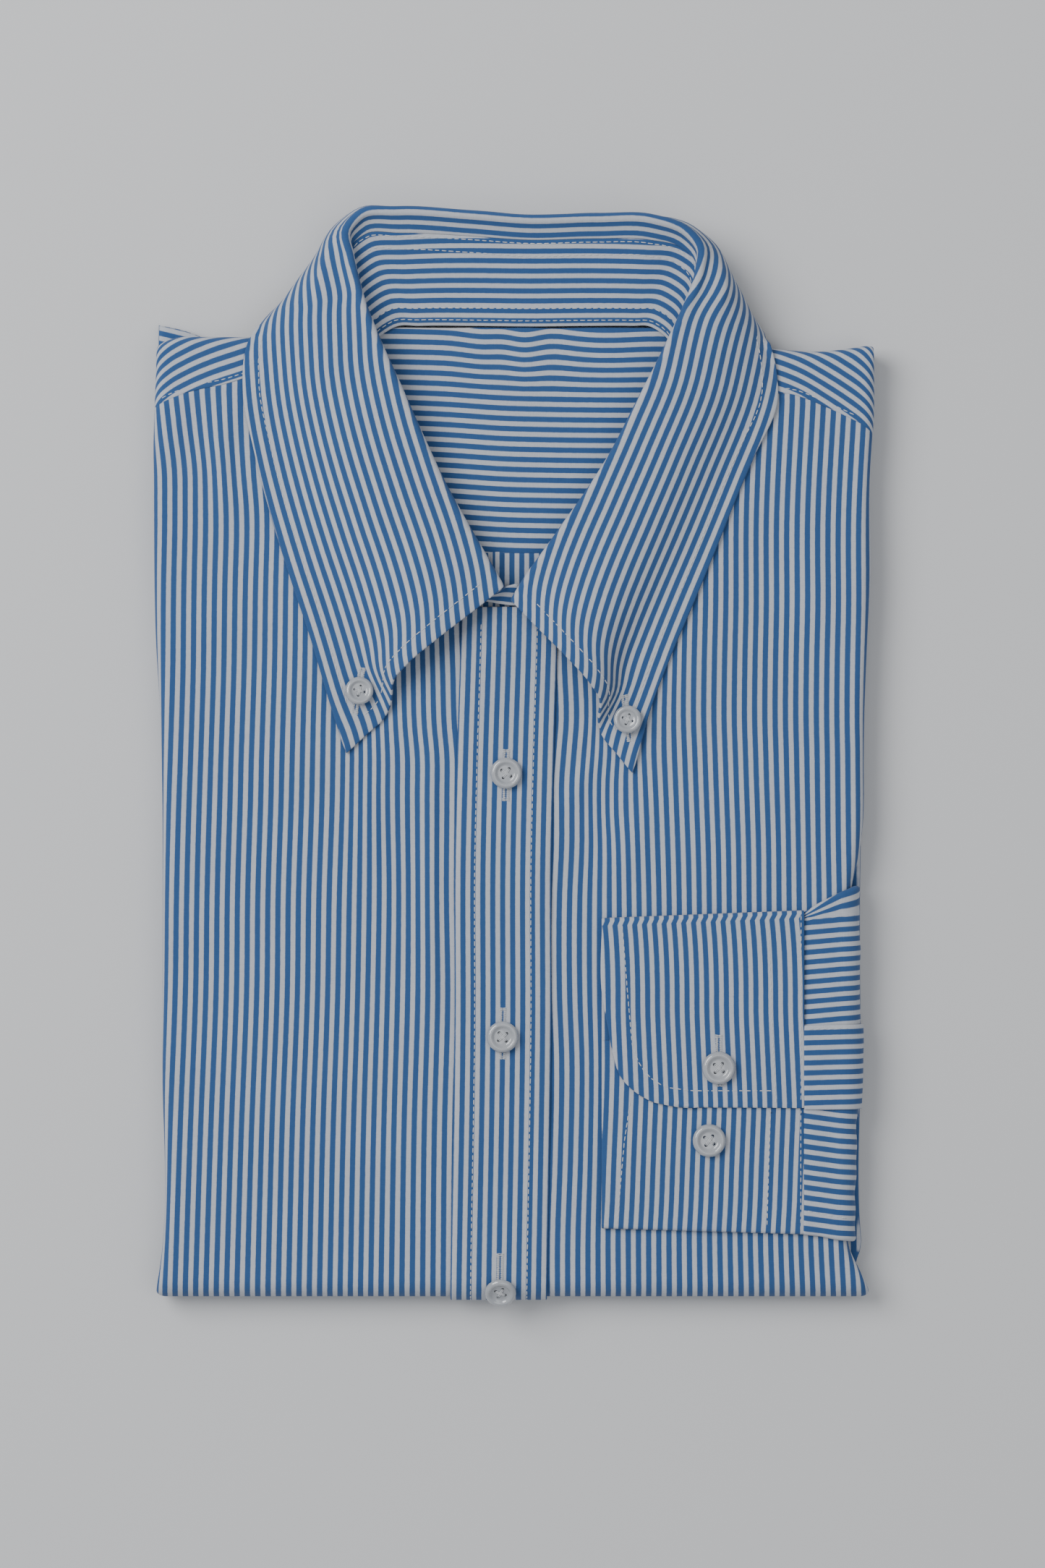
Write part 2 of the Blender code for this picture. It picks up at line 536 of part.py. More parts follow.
def build_placket():
    """Buttonhole placket on the right front, turned round the bottom fold with it."""
    angles = np.radians(np.linspace(BOTTOM_CURL, 0.0, 7))
    fold_y = BOTTOM_FOLD + BOTTOM_TURN
    up = fold_y + (PLACKET_END - fold_y) * np.linspace(0.0, 1.0, 24)
    columns = np.linspace(0.0, 1.0, 6)

    def grid(offset):
        points = []
        for angle in angles[:-1]:
            radius = BOTTOM_TURN + offset
            y = fold_y - radius * math.sin(angle)
            z = FRONT_TOP - BOTTOM_TURN + radius * math.cos(angle)
            points.append([(through(PLACKET_EDGE, y) + share * PLACKET_WIDTH, y, z) for share in columns])
        for y in up:
            row = []
            for share in columns:
                x = float(through(PLACKET_EDGE, y)) + share * PLACKET_WIDTH
                row.append((x, y, float(front_height(x, y)) + offset))
            points.append(row)
        return np.array(points, float)

    wall("front_placket", grid(GAP + CLOTH), grid(GAP))


def collar_section(row):
    """Middle lines of the fall and of the inner side at one collar station."""
    (fold_x, fold_y, fold_z, bearing, turn, hip_out, hip_z, foot_out, foot_z, edge_out, edge_z,
     seam_x, seam_y, seam_z) = row
    turn = math.radians(turn)
    bearing = math.radians(bearing)
    outward = np.array((math.cos(bearing), math.sin(bearing), 0.0))
    upward = np.array((0.0, 0.0, 1.0))
    fold = np.array((fold_x, fold_y, fold_z))
    tip = upward * math.cos(turn) - outward * math.sin(turn)
    over = outward * math.cos(turn) + upward * math.sin(turn)
    centre = fold - tip * (FOLD_ROLL + STIFF_CLOTH / 2)
    plan = fold * (1.0, 1.0, 0.0)
    hip = plan + outward * hip_out + upward * hip_z
    foot = plan + outward * foot_out + upward * foot_z
    edge = plan + outward * edge_out + upward * edge_z
    roll = [centre + FOLD_ROLL * (tip * math.cos(angle) + over * math.sin(angle))
            for angle in np.radians((-55.0, 0.0, 55.0))]
    finish = (edge - foot) / np.linalg.norm(edge - foot)
    fall = bend(centre + over * FOLD_ROLL, -tip, (hip, foot, edge), finish, 10)
    seam = np.array((seam_x, seam_y, seam_z))
    start = centre - over * FOLD_ROLL
    reach = np.linalg.norm(seam - start)
    inside = bend(start, -tip * INSIDE_LEAVE, (seam,), (seam - start) / reach, 21)
    return np.array(roll), fall, inside


def split_inside(inside):
    """Leaf's strip inside the fold, and the stand below it."""
    places = np.linspace(0.0, 1.0, len(inside))
    reach = float(np.linalg.norm(np.diff(inside, axis=0), axis=1).sum())
    strip_end = STRIP_SHARE
    stand_start = STRIP_SHARE + STAND_GAP / reach

    def at(place):
        return np.array([np.interp(place, places, inside[:, axis]) for axis in range(3)])

    strip = [at(strip_end * share) for share in (1.0, 0.5, 0.0)]
    stand = [at(stand_start + (1.0 - stand_start) * share) for share in (1.0, 0.75, 0.5, 0.25, 0.0)]
    return strip, stand


def shape_front_edge(grid, end):
    """Bow a point's front edge in plan, fading into the leaf behind it."""
    row = grid[end]
    start, tip = row[0].copy(), row[-1].copy()
    length = math.hypot(tip[0] - start[0], tip[1] - start[1])
    along = np.array(((tip[0] - start[0]) / length, (tip[1] - start[1]) / length))
    side = np.array((along[1], -along[0]))
    behind = grid[1 if end == 0 else -2][-1][:2] - tip[:2]
    if np.dot(side, behind) < 0:
        side = -side
    for line in grid:
        for column in range(len(row)):
            offset = line[column][:2] - start[:2]
            share = float(np.dot(offset, along)) / length
            away = abs(float(np.dot(offset, side)))
            bow = float(through(FRONT_EDGE_BOW, share)) * math.exp(-(away / CURL_LEAD) ** 2)
            if 0.0 < share < 1.0 and away < 3 * CURL_LEAD:
                line[column][:2] += side * bow
    return grid


def build_collar():
    """Collar leaf over its stand."""
    stations = spread(COLLAR, COLLAR_STATIONS)
    leaf, fall_grid, stand = [], [], []
    for row in stations:
        roll, fall, inside = collar_section(row)
        strip, stand_line = split_inside(inside)
        leaf.append([stand_line[-1]] + list(strip) + list(roll))
        fall_grid.append(fall)
        stand.append(stand_line + [strip[0]])
    fall_grid = np.array(fall_grid)
    half = len(fall_grid) // 2
    shape_front_edge(fall_grid[:half], 0)
    shape_front_edge(fall_grid[half:], -1)
    past = fall_grid[:, :, 1] - through(SHOULDER_FOLD, fall_grid[:, :, 0]) + SIDE_TURN
    rest = front_height(fall_grid[:, :, 0], fall_grid[:, :, 1]) + GAP + STIFF_CLOTH / 2 + 0.1
    round_fold = FRONT_TOP - SIDE_TURN + np.sqrt(np.maximum(SHOULDER_ROOM ** 2 - past ** 2, 0.0))
    rest = np.where(past < 0.0, rest, np.where(past < SHOULDER_ROOM, np.minimum(round_fold, rest), 0.0))
    heights = fall_grid[:, :, 2]
    for _ in range(2):
        heights[1:-1, 3:] = (heights[:-2, 3:] + 2.0 * heights[1:-1, 3:] + heights[2:, 3:]) / 4.0
    fall_grid[:, :, 2] = np.maximum(heights, rest)
    leaf = np.concatenate((np.array(leaf), fall_grid), axis=1)
    thick_sheet("collar_leaf", leaf, STIFF_CLOTH, spare=(1, 0))

    heights = np.array((0.0, 0.25, 0.5, 0.75, 1.0, 1.05))[:, None]
    ends = []
    for row in STAND_LAP:
        top, seam = np.array(row[1:4]), np.array(row[4:])
        ends.append(seam + (top - seam) * heights)
    stand = np.concatenate((ends, stand))
    thick_sheet("collar_band", stand, CLOTH, spare=(0, 1))


def side_wrap(x, y, level):
    """Point on cloth at a level above the left front, carried round the side where x passes it."""
    edge = float(side_at(y, 1)) - SIDE_TURN
    if x <= edge:
        return (x, y, float(front_height(x, y)) + level)
    radius = SIDE_TURN + level + (SIDE_EASE + SIDE_SPREAD * level) * min((x - edge) / SIDE_TURN, 1.0)
    arc = radius * math.pi / 2
    past = (x - edge) * arc / (SIDE_TURN * math.pi / 2)
    centre_z = FRONT_TOP - SIDE_TURN
    if past <= arc:
        angle = past / radius
        return (edge + radius * math.sin(angle), y, centre_z + radius * math.cos(angle))
    return (edge + radius, y, centre_z - min(past - arc, SLEEVE_SKIRT))


def build_cuff():
    """Left cuff: one strip wrapped to a flat barrel, its upper flap lapping over the under flap."""
    roll = (UPPER_LEVEL - UNDER_LEVEL) / 2
    path = [(y, MIDDLE_LEVEL) for y in np.linspace(UNDER_FLAP_END, CUFF_BOTTOM_FOLD + 0.9, 8)]
    middle = (MIDDLE_LEVEL + UNDER_LEVEL) / 2
    half = (MIDDLE_LEVEL - UNDER_LEVEL) / 2
    path += [(CUFF_BOTTOM_FOLD + 0.9 - half * math.sin(angle) * 1.3, middle + half * math.cos(angle))
             for angle in np.radians((60.0, 120.0))]
    path += [(y, UNDER_LEVEL) for y in np.linspace(CUFF_BOTTOM_FOLD + 0.9, CUFF_TOP_FOLD - 1.6, 6)]
    path += [(CUFF_TOP_FOLD - 1.6 + roll * 1.1 * math.sin(angle), UNDER_LEVEL + roll * (1 - math.cos(angle)))
             for angle in np.radians((50.0, 90.0, 130.0))]
    path += [(y, UPPER_LEVEL) for y in (-62.0, -72.0, -84.0, -95.0, -104.0, -111.0, -117.0, -121.0,
                                        -123.6, -125.3, FLAP_END)]
    upper_start = len(path) - 11
    columns = np.concatenate(([0.0], np.linspace(0.1, 1.0, 8)))
    grid = np.empty((len(path), len(columns), 3))
    for row, (y, level) in enumerate(path):
        outer_edge = float(through(CUFF_FLAP_EDGE, y)) if row >= upper_start else CUFF_LEFT + 0.4
        for column, share in enumerate(columns):
            x = outer_edge + share * (CUFF_SEAM - outer_edge)
            slant = CUFF_SLANT_BOTTOM + (CUFF_SLANT_TOP - CUFF_SLANT_BOTTOM) * float(ease(-175.0, -55.0, y))
            if y < FLAP_END - 2.0 or y > UNDER_FLAP_END or row < upper_start:
                lean = slant
            else:
                lean = slant * float(ease(-127.0, -110.0, y))
            place = y + lean * (x - CUFF_LEFT) / (CUFF_SEAM - CUFF_LEFT)
            grid[row, column] = (x, place, FRONT_TOP + level)
    thick_sheet("left_cuff", grid, CLOTH)


def build_sleeve():
    """Left sleeve from the cuff round the side fold, and the placket that covers its slit."""
    top, bottom = CUFF_TOP_FOLD + 2.4, CUFF_BOTTOM_FOLD - 2.0
    middle = (MIDDLE_LEVEL + UNDER_LEVEL) / 2
    half = (MIDDLE_LEVEL - UNDER_LEVEL) / 2
    lower = np.linspace(SLEEVE_SLIT[1], bottom + 0.9, 6)
    upper = np.linspace(top - 0.9, SLEEVE_SLIT[0], 6)
    path = [(y, MIDDLE_LEVEL) for y in lower]
    path += [(bottom + 0.9 - half * math.sin(angle) * 1.3, middle + half * math.cos(angle))
             for angle in np.radians((60.0, 120.0))]
    path += [(y, UNDER_LEVEL) for y in (*lower[::-1], *upper[::-1])]
    path += [(top - 0.9 + half * math.sin(angle) * 1.3, middle - half * math.cos(angle))
             for angle in np.radians((60.0, 120.0))]
    path += [(y, MIDDLE_LEVEL) for y in upper]
    side = float(side_at(-100.0, 1))
    places = [SLEEVE_START, SLEEVE_START + 5.0, SLEEVE_START + 10.0, side - 4.0, side - 2.4, side - 0.8,
              side + 0.8, side + 2.28, side + 4.6]

    def carried(y, level):
        line = []
        for x in places:
            share = (x - SLEEVE_START) / (side - SLEEVE_START)
            lean = SLEEVE_SLANT_BOTTOM + (SLEEVE_SLANT_TOP - SLEEVE_SLANT_BOTTOM) * ease(bottom, top, y)
            keep = 1.0 - ease(-80.0, -100.0, y) * ease(-150.0, -130.0, y)
            line.append(side_wrap(x, y + float(lean * keep) * min(share, 1.0), level))
        return line

    thick_sheet("left_sleeve", np.array([carried(y, level) for y, level in path]), CLOTH)
    rows = np.linspace(SLEEVE_PLACKET[0], SLEEVE_PLACKET[1], 5)
    thick_sheet("sleeve_placket", np.array([carried(y, UPPER_LEVEL) for y in rows]), CLOTH)


def build_button(name, width, place, tilt=(0.0, 0.0)):
    """Turned button with a dished face and four thread holes, its back on the cloth."""
    radius = width / 2
    height = width * BUTTON_HEIGHT
    profile = ((0.0, 0.0), (0.82, 0.0), (1.0, 0.42), (0.94, 0.84), (0.80, 1.0), (0.58, 0.64), (0.0, 0.56))
    segments = 16
    mesh = bpy.data.meshes.new(name)
    body = bmesh.new()
    line = [body.verts.new((radius * out * MM, 0.0, height * up * MM)) for out, up in profile]
    edges = [body.edges.new(pair) for pair in zip(line[:-1], line[1:])]
    bmesh.ops.spin(body, geom=line + edges, cent=(0.0, 0.0, 0.0), axis=(0.0, 0.0, 1.0),
                   angle=2 * math.pi, steps=segments)
    bmesh.ops.remove_doubles(body, verts=body.verts, dist=0.00001)
    bmesh.ops.recalc_face_normals(body, faces=body.faces)
    body.to_mesh(mesh)
    body.free()
    mesh.materials.append(material(name + "_surface", BUTTON_PEARL, 0.2))
    piece = bpy.data.objects.new(name, mesh)
    bpy.context.scene.collection.objects.link(piece)

    cutter_mesh = bpy.data.meshes.new(name + "_holes")
    cutter = bmesh.new()
    spacing = width * HOLE_SPACING / 2 * MM
    for across, up in ((1, 1), (-1, 1), (-1, -1), (1, -1)):
        hole = bmesh.ops.create_cone(cutter, cap_ends=True, segments=6, radius1=width * HOLE_RADIUS * MM,
                                     radius2=width * HOLE_RADIUS * MM, depth=4 * height * MM)
        bmesh.ops.translate(cutter, verts=hole["verts"], vec=(across * spacing, up * spacing, 0.0))
    cutter.to_mesh(cutter_mesh)
    cutter.free()
    holes = bpy.data.objects.new(name + "_holes", cutter_mesh)
    holes.hide_render = True
    holes.display_type = "WIRE"
    holes.parent = piece
    bpy.context.scene.collection.objects.link(holes)
    cut = piece.modifiers.new("thread_holes", "BOOLEAN")
    cut.operation = "DIFFERENCE"
    cut.solver = "EXACT"
    cut.object = holes
    mesh.shade_smooth()
    mesh.set_sharp_from_angle(angle=math.radians(40.0))
    piece.location = tuple(value * MM for value in place)
    piece.rotation_euler = (math.radians(tilt[0]), math.radians(tilt[1]), math.radians(8.0))
    return piece


def build_buttons():
    """Three front buttons, two collar buttons and two cuff buttons."""
    on_placket = GAP + CLOTH + GAP
    for number, (x, y) in enumerate(((-2.5, -5.9), (-3.8, -101.3)), start=1):
        build_button(f"front_button_{number}", FRONT_BUTTON, (x, y, FRONT_TOP + on_placket))
    lean = math.radians(30.0)
    reach = BOTTOM_TURN + on_placket + GAP
    build_button("front_button_3", FRONT_BUTTON,
                 (-4.6, BOTTOM_FOLD + BOTTOM_TURN - reach * math.sin(lean),
                  FRONT_TOP - BOTTOM_TURN + reach * math.cos(lean)), (math.degrees(lean), 0.0))
    on_leaf = GAP + STIFF_CLOTH + GAP
    build_button("collar_button_right", COLLAR_BUTTON, (-55.7, 23.8, FRONT_TOP + on_leaf + 1.5), (-6.0, 6.0))
    build_button("collar_button_left", COLLAR_BUTTON, (41.5, 13.5, FRONT_TOP + on_leaf + 1.1), (-4.0, -6.0))
    build_button("cuff_button_1", CUFF_BUTTON, (74.3, -112.4, FRONT_TOP + UPPER_LEVEL + CLOTH / 2 + GAP))
    build_button("cuff_button_2", CUFF_BUTTON, (70.9, -138.7, FRONT_TOP + MIDDLE_LEVEL + CLOTH / 2 + GAP))


def stand_on_origin():
    """Carry everything so that the origin is under the middle of the folded shirt."""
    bpy.context.view_layer.update()
    corners = []
    for piece in bpy.data.objects:
        if piece.type == "MESH" and not piece.hide_render:
            corners += [piece.matrix_world @ vertex.co for vertex in piece.data.vertices]
    low = [min(corner[axis] for corner in corners) for axis in range(3)]
    high = [max(corner[axis] for corner in corners) for axis in range(3)]
    shift = ((low[0] + high[0]) / 2, (low[1] + high[1]) / 2, low[2])
    for piece in bpy.data.objects:
        if piece.parent is None:
            piece.location = [piece.location[axis] - shift[axis] for axis in range(3)]


def main():
    """Clear the scene and build every piece."""
    for old in list(bpy.data.objects):
        bpy.data.objects.remove(old, do_unlink=True)
    build_layers()
    build_inside()
    build_fronts()
    build_outer_yoke()
    build_placket()
    build_collar()
    build_cuff()
    build_sleeve()
    build_buttons()
    stand_on_origin()


main()
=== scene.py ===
"""A striped dress shirt, buttoned and folded flat: cloth, stitches, buttonholes and buttons.

The tables are in millimetres and the meshes in metres. +Z is up, +Y runs from the bottom fold to the
collar, and right and left are the wearer's. Each piece of cloth is a fine wall on its solid's form,
and its first texture coordinate counts the stripes across the cloth.
"""

import math

import bmesh
import bpy
import numpy as np
from bpy.props import FloatProperty, FloatVectorProperty, PointerProperty
from mathutils import Matrix, Vector


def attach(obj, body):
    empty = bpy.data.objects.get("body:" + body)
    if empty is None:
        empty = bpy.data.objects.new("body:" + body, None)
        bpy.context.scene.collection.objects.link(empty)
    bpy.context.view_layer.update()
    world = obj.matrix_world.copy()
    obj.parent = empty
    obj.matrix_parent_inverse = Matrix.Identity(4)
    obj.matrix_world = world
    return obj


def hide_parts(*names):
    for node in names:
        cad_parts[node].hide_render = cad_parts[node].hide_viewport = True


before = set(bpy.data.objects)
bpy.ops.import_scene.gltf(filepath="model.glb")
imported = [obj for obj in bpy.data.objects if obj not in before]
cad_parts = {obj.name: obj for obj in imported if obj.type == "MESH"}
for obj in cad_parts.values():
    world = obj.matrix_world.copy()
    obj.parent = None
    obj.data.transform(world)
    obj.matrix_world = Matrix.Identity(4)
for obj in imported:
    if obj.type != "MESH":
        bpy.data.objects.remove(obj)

bl_info = {
    "name": "Folded Dress Shirt",
    "version": (1, 0, 0),
    "blender": (4, 5, 0),
    "location": "3D View > Sidebar > Shirt",
    "description": "Builds a striped dress shirt that is buttoned and folded flat",
    "category": "Add Mesh",
}

MM = 0.001

# Thicknesses and gaps
CLOTH = 1.0
STIFF_CLOTH = 1.2
GAP = 0.3

# The folded body
STACK_TOP = 14.0
FRONT_TOP = STACK_TOP + GAP + CLOTH
BOTTOM_FOLD = -196.0
SIDE_TURN = 4.0
BOTTOM_TURN = 7.2
BOTTOM_CURL = 150.0
SKIRT_END = 7.2
SIDE_HANG = 4.1
FOLD_REACH = 0.66
RAISED = CLOTH + GAP
RAISED_X = (95.0, 72.0)
RAISED_Y = (10.0, 40.0)
# Side edges of the body: height, right edge, left edge
SIDES = (
    (-197.0, -130.2, 130.3), (-188.0, -128.6, 128.6), (-104.0, -127.5, 126.8), (-52.0, -127.2, 126.5),
    (-6.0, -127.5, 127.2), (18.0, -128.2, 127.5), (41.0, -129.6, 128.5), (65.0, -130.3, 129.7),
    (100.0, -130.8, 129.5), (126.0, -130.2, 131.0), (160.0, -128.6, 130.4),
)
# How far the left side draws in under the sleeve: height, distance
SLEEVE_TUCK = (
    (-197.0, 0.2), (-192.0, 0.8), (-186.0, 2.6), (-178.0, 5.2), (-166.0, 5.1), (-150.0, 4.7),
    (-125.0, 4.4), (-100.0, 4.0), (-62.0, 3.7), (-47.0, 3.6), (-36.0, 1.3), (-26.0, 0.1), (0.0, 0.0),
    (160.0, 0.0),
)
# Folds at the top and the yoke seams: across the shirt, height
SHOULDER_FOLD = (
    (-131.0, 149.0), (-122.0, 152.2), (-110.7, 152.4), (-101.3, 152.4), (-50.0, 151.5), (55.0, 149.5),
    (92.6, 148.2), (110.7, 147.1), (121.7, 148.2), (131.0, 149.7),
)
LOWER_TOP = (
    (-131.0, 157.8), (-118.8, 155.2), (-110.7, 152.0), (-90.0, 149.5), (90.0, 146.5), (131.0, 147.5),
)
RIGHT_YOKE_SEAM = (
    (-131.0, 125.9), (-126.9, 128.5), (-117.0, 132.4), (-104.0, 135.3), (-97.9, 137.2), (-52.0, 145.0),
)
LEFT_YOKE_SEAM = (
    (58.0, 140.0), (95.8, 131.8), (99.7, 131.7), (110.7, 128.0), (118.0, 124.8), (127.2, 119.9),
    (131.5, 116.2),
)
# Inner edges of the fronts inside the neck, and the placket's right edge: height, across
RIGHT_NECK = (
    (50.0, -17.5), (53.0, -15.0), (57.0, -11.6), (66.0, -17.2), (76.0, -23.6), (88.0, -30.2),
    (101.0, -36.8), (113.0, -42.6), (125.0, -47.2), (134.0, -50.4), (156.0, -52.0),
)
LEFT_NECK = (
    (48.0, -16.8), (52.0, -8.0), (55.5, 6.4), (60.5, 11.2), (70.0, 17.6), (80.5, 25.2), (92.0, 33.6),
    (105.0, 42.0), (119.0, 49.6), (131.0, 55.0), (139.5, 58.0), (156.0, 58.6),
)
PLACKET_EDGE = (
    (-200.0, -22.5), (-192.0, -22.4), (-93.0, -20.9), (-40.0, -20.9), (0.0, -20.0), (52.0, -18.5),
    (60.0, -18.4),
)
# Soft folds of the fronts: from x y, to x y, half width, height
FRONT_FOLDS = (
    (-29.5, 14.0, -30.0, -104.0, 4.0, 1.0),
    (-54.0, -2.0, -50.5, -40.0, 5.0, 0.8),
    (-107.0, 118.0, -104.0, 84.0, 5.0, 0.8),
    (26.5, 0.0, 21.5, -20.0, 4.0, 0.9),
    (48.0, -14.0, 40.0, -44.0, 5.0, 0.8),
    (104.0, 96.0, 108.0, 40.0, 6.0, 0.6),
)
# Sharper creases that the light draws on the fronts, in the same columns
FINE_CREASES = (
    (31.5, 8.5, 15.6, -16.0, 1.7, -0.75),
    (32.0, 4.0, 19.0, -15.5, 2.6, 0.45),
    (37.2, -3.5, 28.9, -40.7, 1.8, -0.55),
    (28.9, -38.0, 26.3, -88.0, 2.2, -0.35),
    (-25.2, 14.0, -26.3, -92.0, 1.9, -0.45),
    (-34.8, 10.0, -35.4, -60.0, 2.0, -0.35),
    (-56.5, 8.5, -52.5, -18.0, 1.9, -0.45),
    (-99.8, 124.0, -100.4, 92.0, 2.0, -0.4),
    (-110.6, 120.0, -110.0, 90.0, 2.2, -0.35),
    (98.0, 98.0, 101.0, 48.0, 2.6, -0.3),
)
# Layers of the folded stack from the table up: height, side inset, bottom inset, top inset, bundle
LAYERS = (
    (0.0, 1.8, 6.6, 1.8, "lower"), (0.6, 0.7, 5.8, 0.7, "lower"), (1.8, 0.3, 5.6, 0.3, "lower"),
    (2.9, 0.6, 5.1, 0.6, "lower"), (3.3, 1.2, 4.4, 1.2, "lower"), (3.7, 0.6, 3.8, 0.6, "lower"),
    (4.7, 0.2, 3.0, 0.2, "lower"), (5.9, 0.5, 2.2, 0.5, "lower"), (6.6, 1.6, 1.9, 1.6, "lower"),
    (6.9, 3.2, 2.1, 3.2, "upper"), (7.3, 1.9, 1.9, 1.9, "upper"), (8.2, 1.9, 1.8, 1.9, "upper"),
    (11.0, 1.9, 2.8, 1.9, "upper"), (12.2, 2.2, 3.7, 2.2, "upper"), (13.3, 2.8, 5.0, 2.8, "upper"),
    (STACK_TOP, 4.2, 8.2, 4.2, "upper"),
)
LOWER_CORNER_INSET = 1.7

# Placket and buttons
PLACKET_WIDTH = 34.4
PLACKET_END = 54.0
FRONT_BUTTON = 11.4
COLLAR_BUTTON = 10.2
CUFF_BUTTON = 12.0
# Distance of the rows of stitches from the edges of the placket
PLACKET_ROW = 7.0
# Shares of a button's width: its height, its holes from the middle, their radius
BUTTON_HEIGHT = 0.22
HOLE_PLACE = 0.12
HOLE_RADIUS = 0.05

# Collar
FOLD_ROLL = 1.3
STRIP_SHARE = 0.24
STAND_GAP = 0.8
INSIDE_LEAVE = 0.55
EDGE_SHARE = 0.6
DIVE_SHARE = 2.5
SHOULDER_ROOM = 7.4
COLLAR_STATIONS = 58
FINER = 4
CURL_LEAD = 14.0
# First point of the fall whose height is evened out along the collar
EVENED_FROM = 15
# Bearings straight across the stripes of the right and the left point
WING_BEARINGS = (194.4, -20.8)
# Width of the leaf at the back, where its count of stripes starts, and its row of stitches
LEAF_BACK = 45.3
LEAF_PHASE = 0.9
LEAF_ROW = 6.0
# Collar sections from the right point round the back to the left point. Columns: fold x y z; the
# bearing in which the leaf falls; the turn of its fold; hip, foot and edge of the fall, each as a
# distance along the bearing and a height; the stand's seam x y z.
COLLAR = (
    (-3.3, 62.0, 23.4, 226.6, 90, 50.0, 24.6, 62.0, 17.0, 83.0, 16.4, -12.5, 57.0, 18.9),
    (-9.0, 72.0, 24.0, 221.6, 90, 44.0, 24.4, 59.0, 17.4, 76.9, 16.9, -18.0, 65.5, 17.7),
    (-16.0, 84.0, 24.7, 216.9, 90, 38.0, 24.2, 56.0, 18.2, 70.7, 17.6, -24.5, 76.0, 17.5),
    (-24.0, 98.5, 25.5, 213.0, 90, 32.0, 24.6, 55.0, 18.2, 66.2, 17.4, -31.0, 87.5, 17.5),
    (-32.0, 115.5, 26.2, 208.2, 90, 28.0, 25.2, 53.0, 17.6, 62.4, 16.8, -37.5, 100.5, 17.5),
    (-40.0, 133.5, 26.8, 202.8, 88, 24.5, 25.8, 50.0, 17.0, 58.0, 16.4, -43.5, 113.0, 17.5),
    (-47.5, 150.0, 27.3, 198.8, 80, 22.0, 26.0, 46.5, 17.0, 52.8, 16.4, -48.0, 124.5, 17.5),
    (-53.0, 163.6, 27.8, 197.0, 66, 19.0, 26.2, 38.0, 20.0, 44.5, 16.5, -51.0, 132.5, 17.6),
    (-54.6, 168.3, 27.9, 194.0, 54, 18.0, 25.8, 32.0, 18.5, 35.5, 10.0, -51.7, 136.5, 17.7),
    (-56.2, 173.3, 28.0, 189.0, 42, 16.0, 25.0, 24.0, 13.5, 23.0, 3.5, -52.0, 140.5, 17.7),
    (-58.4, 181.0, 28.0, 177.0, 22, 9.0, 24.0, 12.8, 12.0, 9.5, 1.9, -51.5, 146.5, 17.6),
    (-60.0, 190.0, 28.0, 155.0, 2, 3.5, 21.5, 4.5, 10.0, -4.0, 1.7, -49.5, 151.5, 16.9),
    (-54.5, 196.6, 28.0, 108.0, -25, 1.5, 20.0, 0.0, 7.0, -15.0, 1.4, -43.0, 155.9, 16.1),
    (-42.0, 197.8, 28.0, 93.0, -45, 0.5, 20.0, -5.0, 6.0, -24.0, 1.3, -34.0, 156.4, 15.9),
    (-15.0, 196.4, 27.4, 90.0, -45, 0.5, 20.0, -5.0, 6.0, -24.0, 1.3, -14.0, 156.4, 15.9),
    (5.4, 194.9, 27.0, 90.0, -45, 0.5, 20.0, -5.0, 6.0, -24.0, 1.3, 5.4, 156.2, 15.9),
    (30.0, 195.4, 27.4, 90.0, -45, 0.5, 20.0, -5.0, 6.0, -24.0, 1.3, 27.0, 156.4, 15.9),
    (50.0, 194.9, 28.0, 87.0, -45, 0.5, 20.0, -5.0, 6.0, -24.0, 1.3, 43.0, 156.4, 15.9),
    (62.0, 190.6, 28.0, 62.0, -20, 2.0, 20.0, 0.0, 7.0, -13.0, 1.4, 50.0, 156.0, 16.2),
    (67.5, 183.5, 28.0, 28.0, 5, 4.0, 21.5, 5.0, 10.0, -3.0, 1.7, 55.5, 152.2, 16.8),
    (66.5, 175.5, 28.0, 8.0, 30, 8.5, 24.0, 11.0, 12.0, 8.0, 2.2, 58.5, 147.0, 17.6),
    (64.3, 169.0, 27.9, -6.0, 48, 13.0, 25.0, 18.5, 14.5, 17.5, 4.5, 59.4, 143.0, 17.7),
    (62.0, 164.0, 27.7, -12.0, 60, 15.5, 25.2, 24.5, 17.0, 26.5, 8.5, 59.5, 140.5, 17.7),
    (58.5, 156.5, 27.4, -17.0, 76, 18.0, 25.4, 31.5, 19.5, 37.0, 15.5, 59.0, 137.0, 17.6),
    (51.5, 142.0, 27.0, -18.0, 86, 20.0, 25.4, 40.0, 17.4, 45.9, 16.4, 56.0, 129.0, 17.5),
    (44.0, 127.5, 26.5, -21.9, 90, 21.0, 25.4, 41.0, 17.4, 46.9, 16.5, 50.5, 118.0, 17.5),
    (35.0, 110.0, 26.0, -22.6, 90, 22.0, 25.2, 41.0, 18.0, 48.2, 17.0, 43.0, 104.5, 17.5),
    (26.5, 96.5, 25.3, -29.0, 90, 26.0, 24.8, 43.0, 18.4, 51.5, 17.5, 34.5, 92.0, 17.5),
    (18.0, 84.5, 24.7, -34.0, 90, 30.0, 24.5, 45.0, 18.5, 55.5, 17.6, 26.0, 80.5, 17.5),
    (10.5, 74.0, 24.0, -39.6, 90, 34.0, 24.6, 46.0, 18.3, 59.7, 17.5, 18.5, 70.0, 17.5),
    (4.0, 65.0, 23.6, -46.5, 90, 41.0, 24.8, 50.0, 17.2, 66.1, 16.8, 12.0, 60.5, 17.7),
    (-0.7, 57.2, 23.2, -55.0, 90, 47.0, 25.0, 56.5, 16.9, 76.4, 16.4, 7.5, 55.6, 18.6),
)
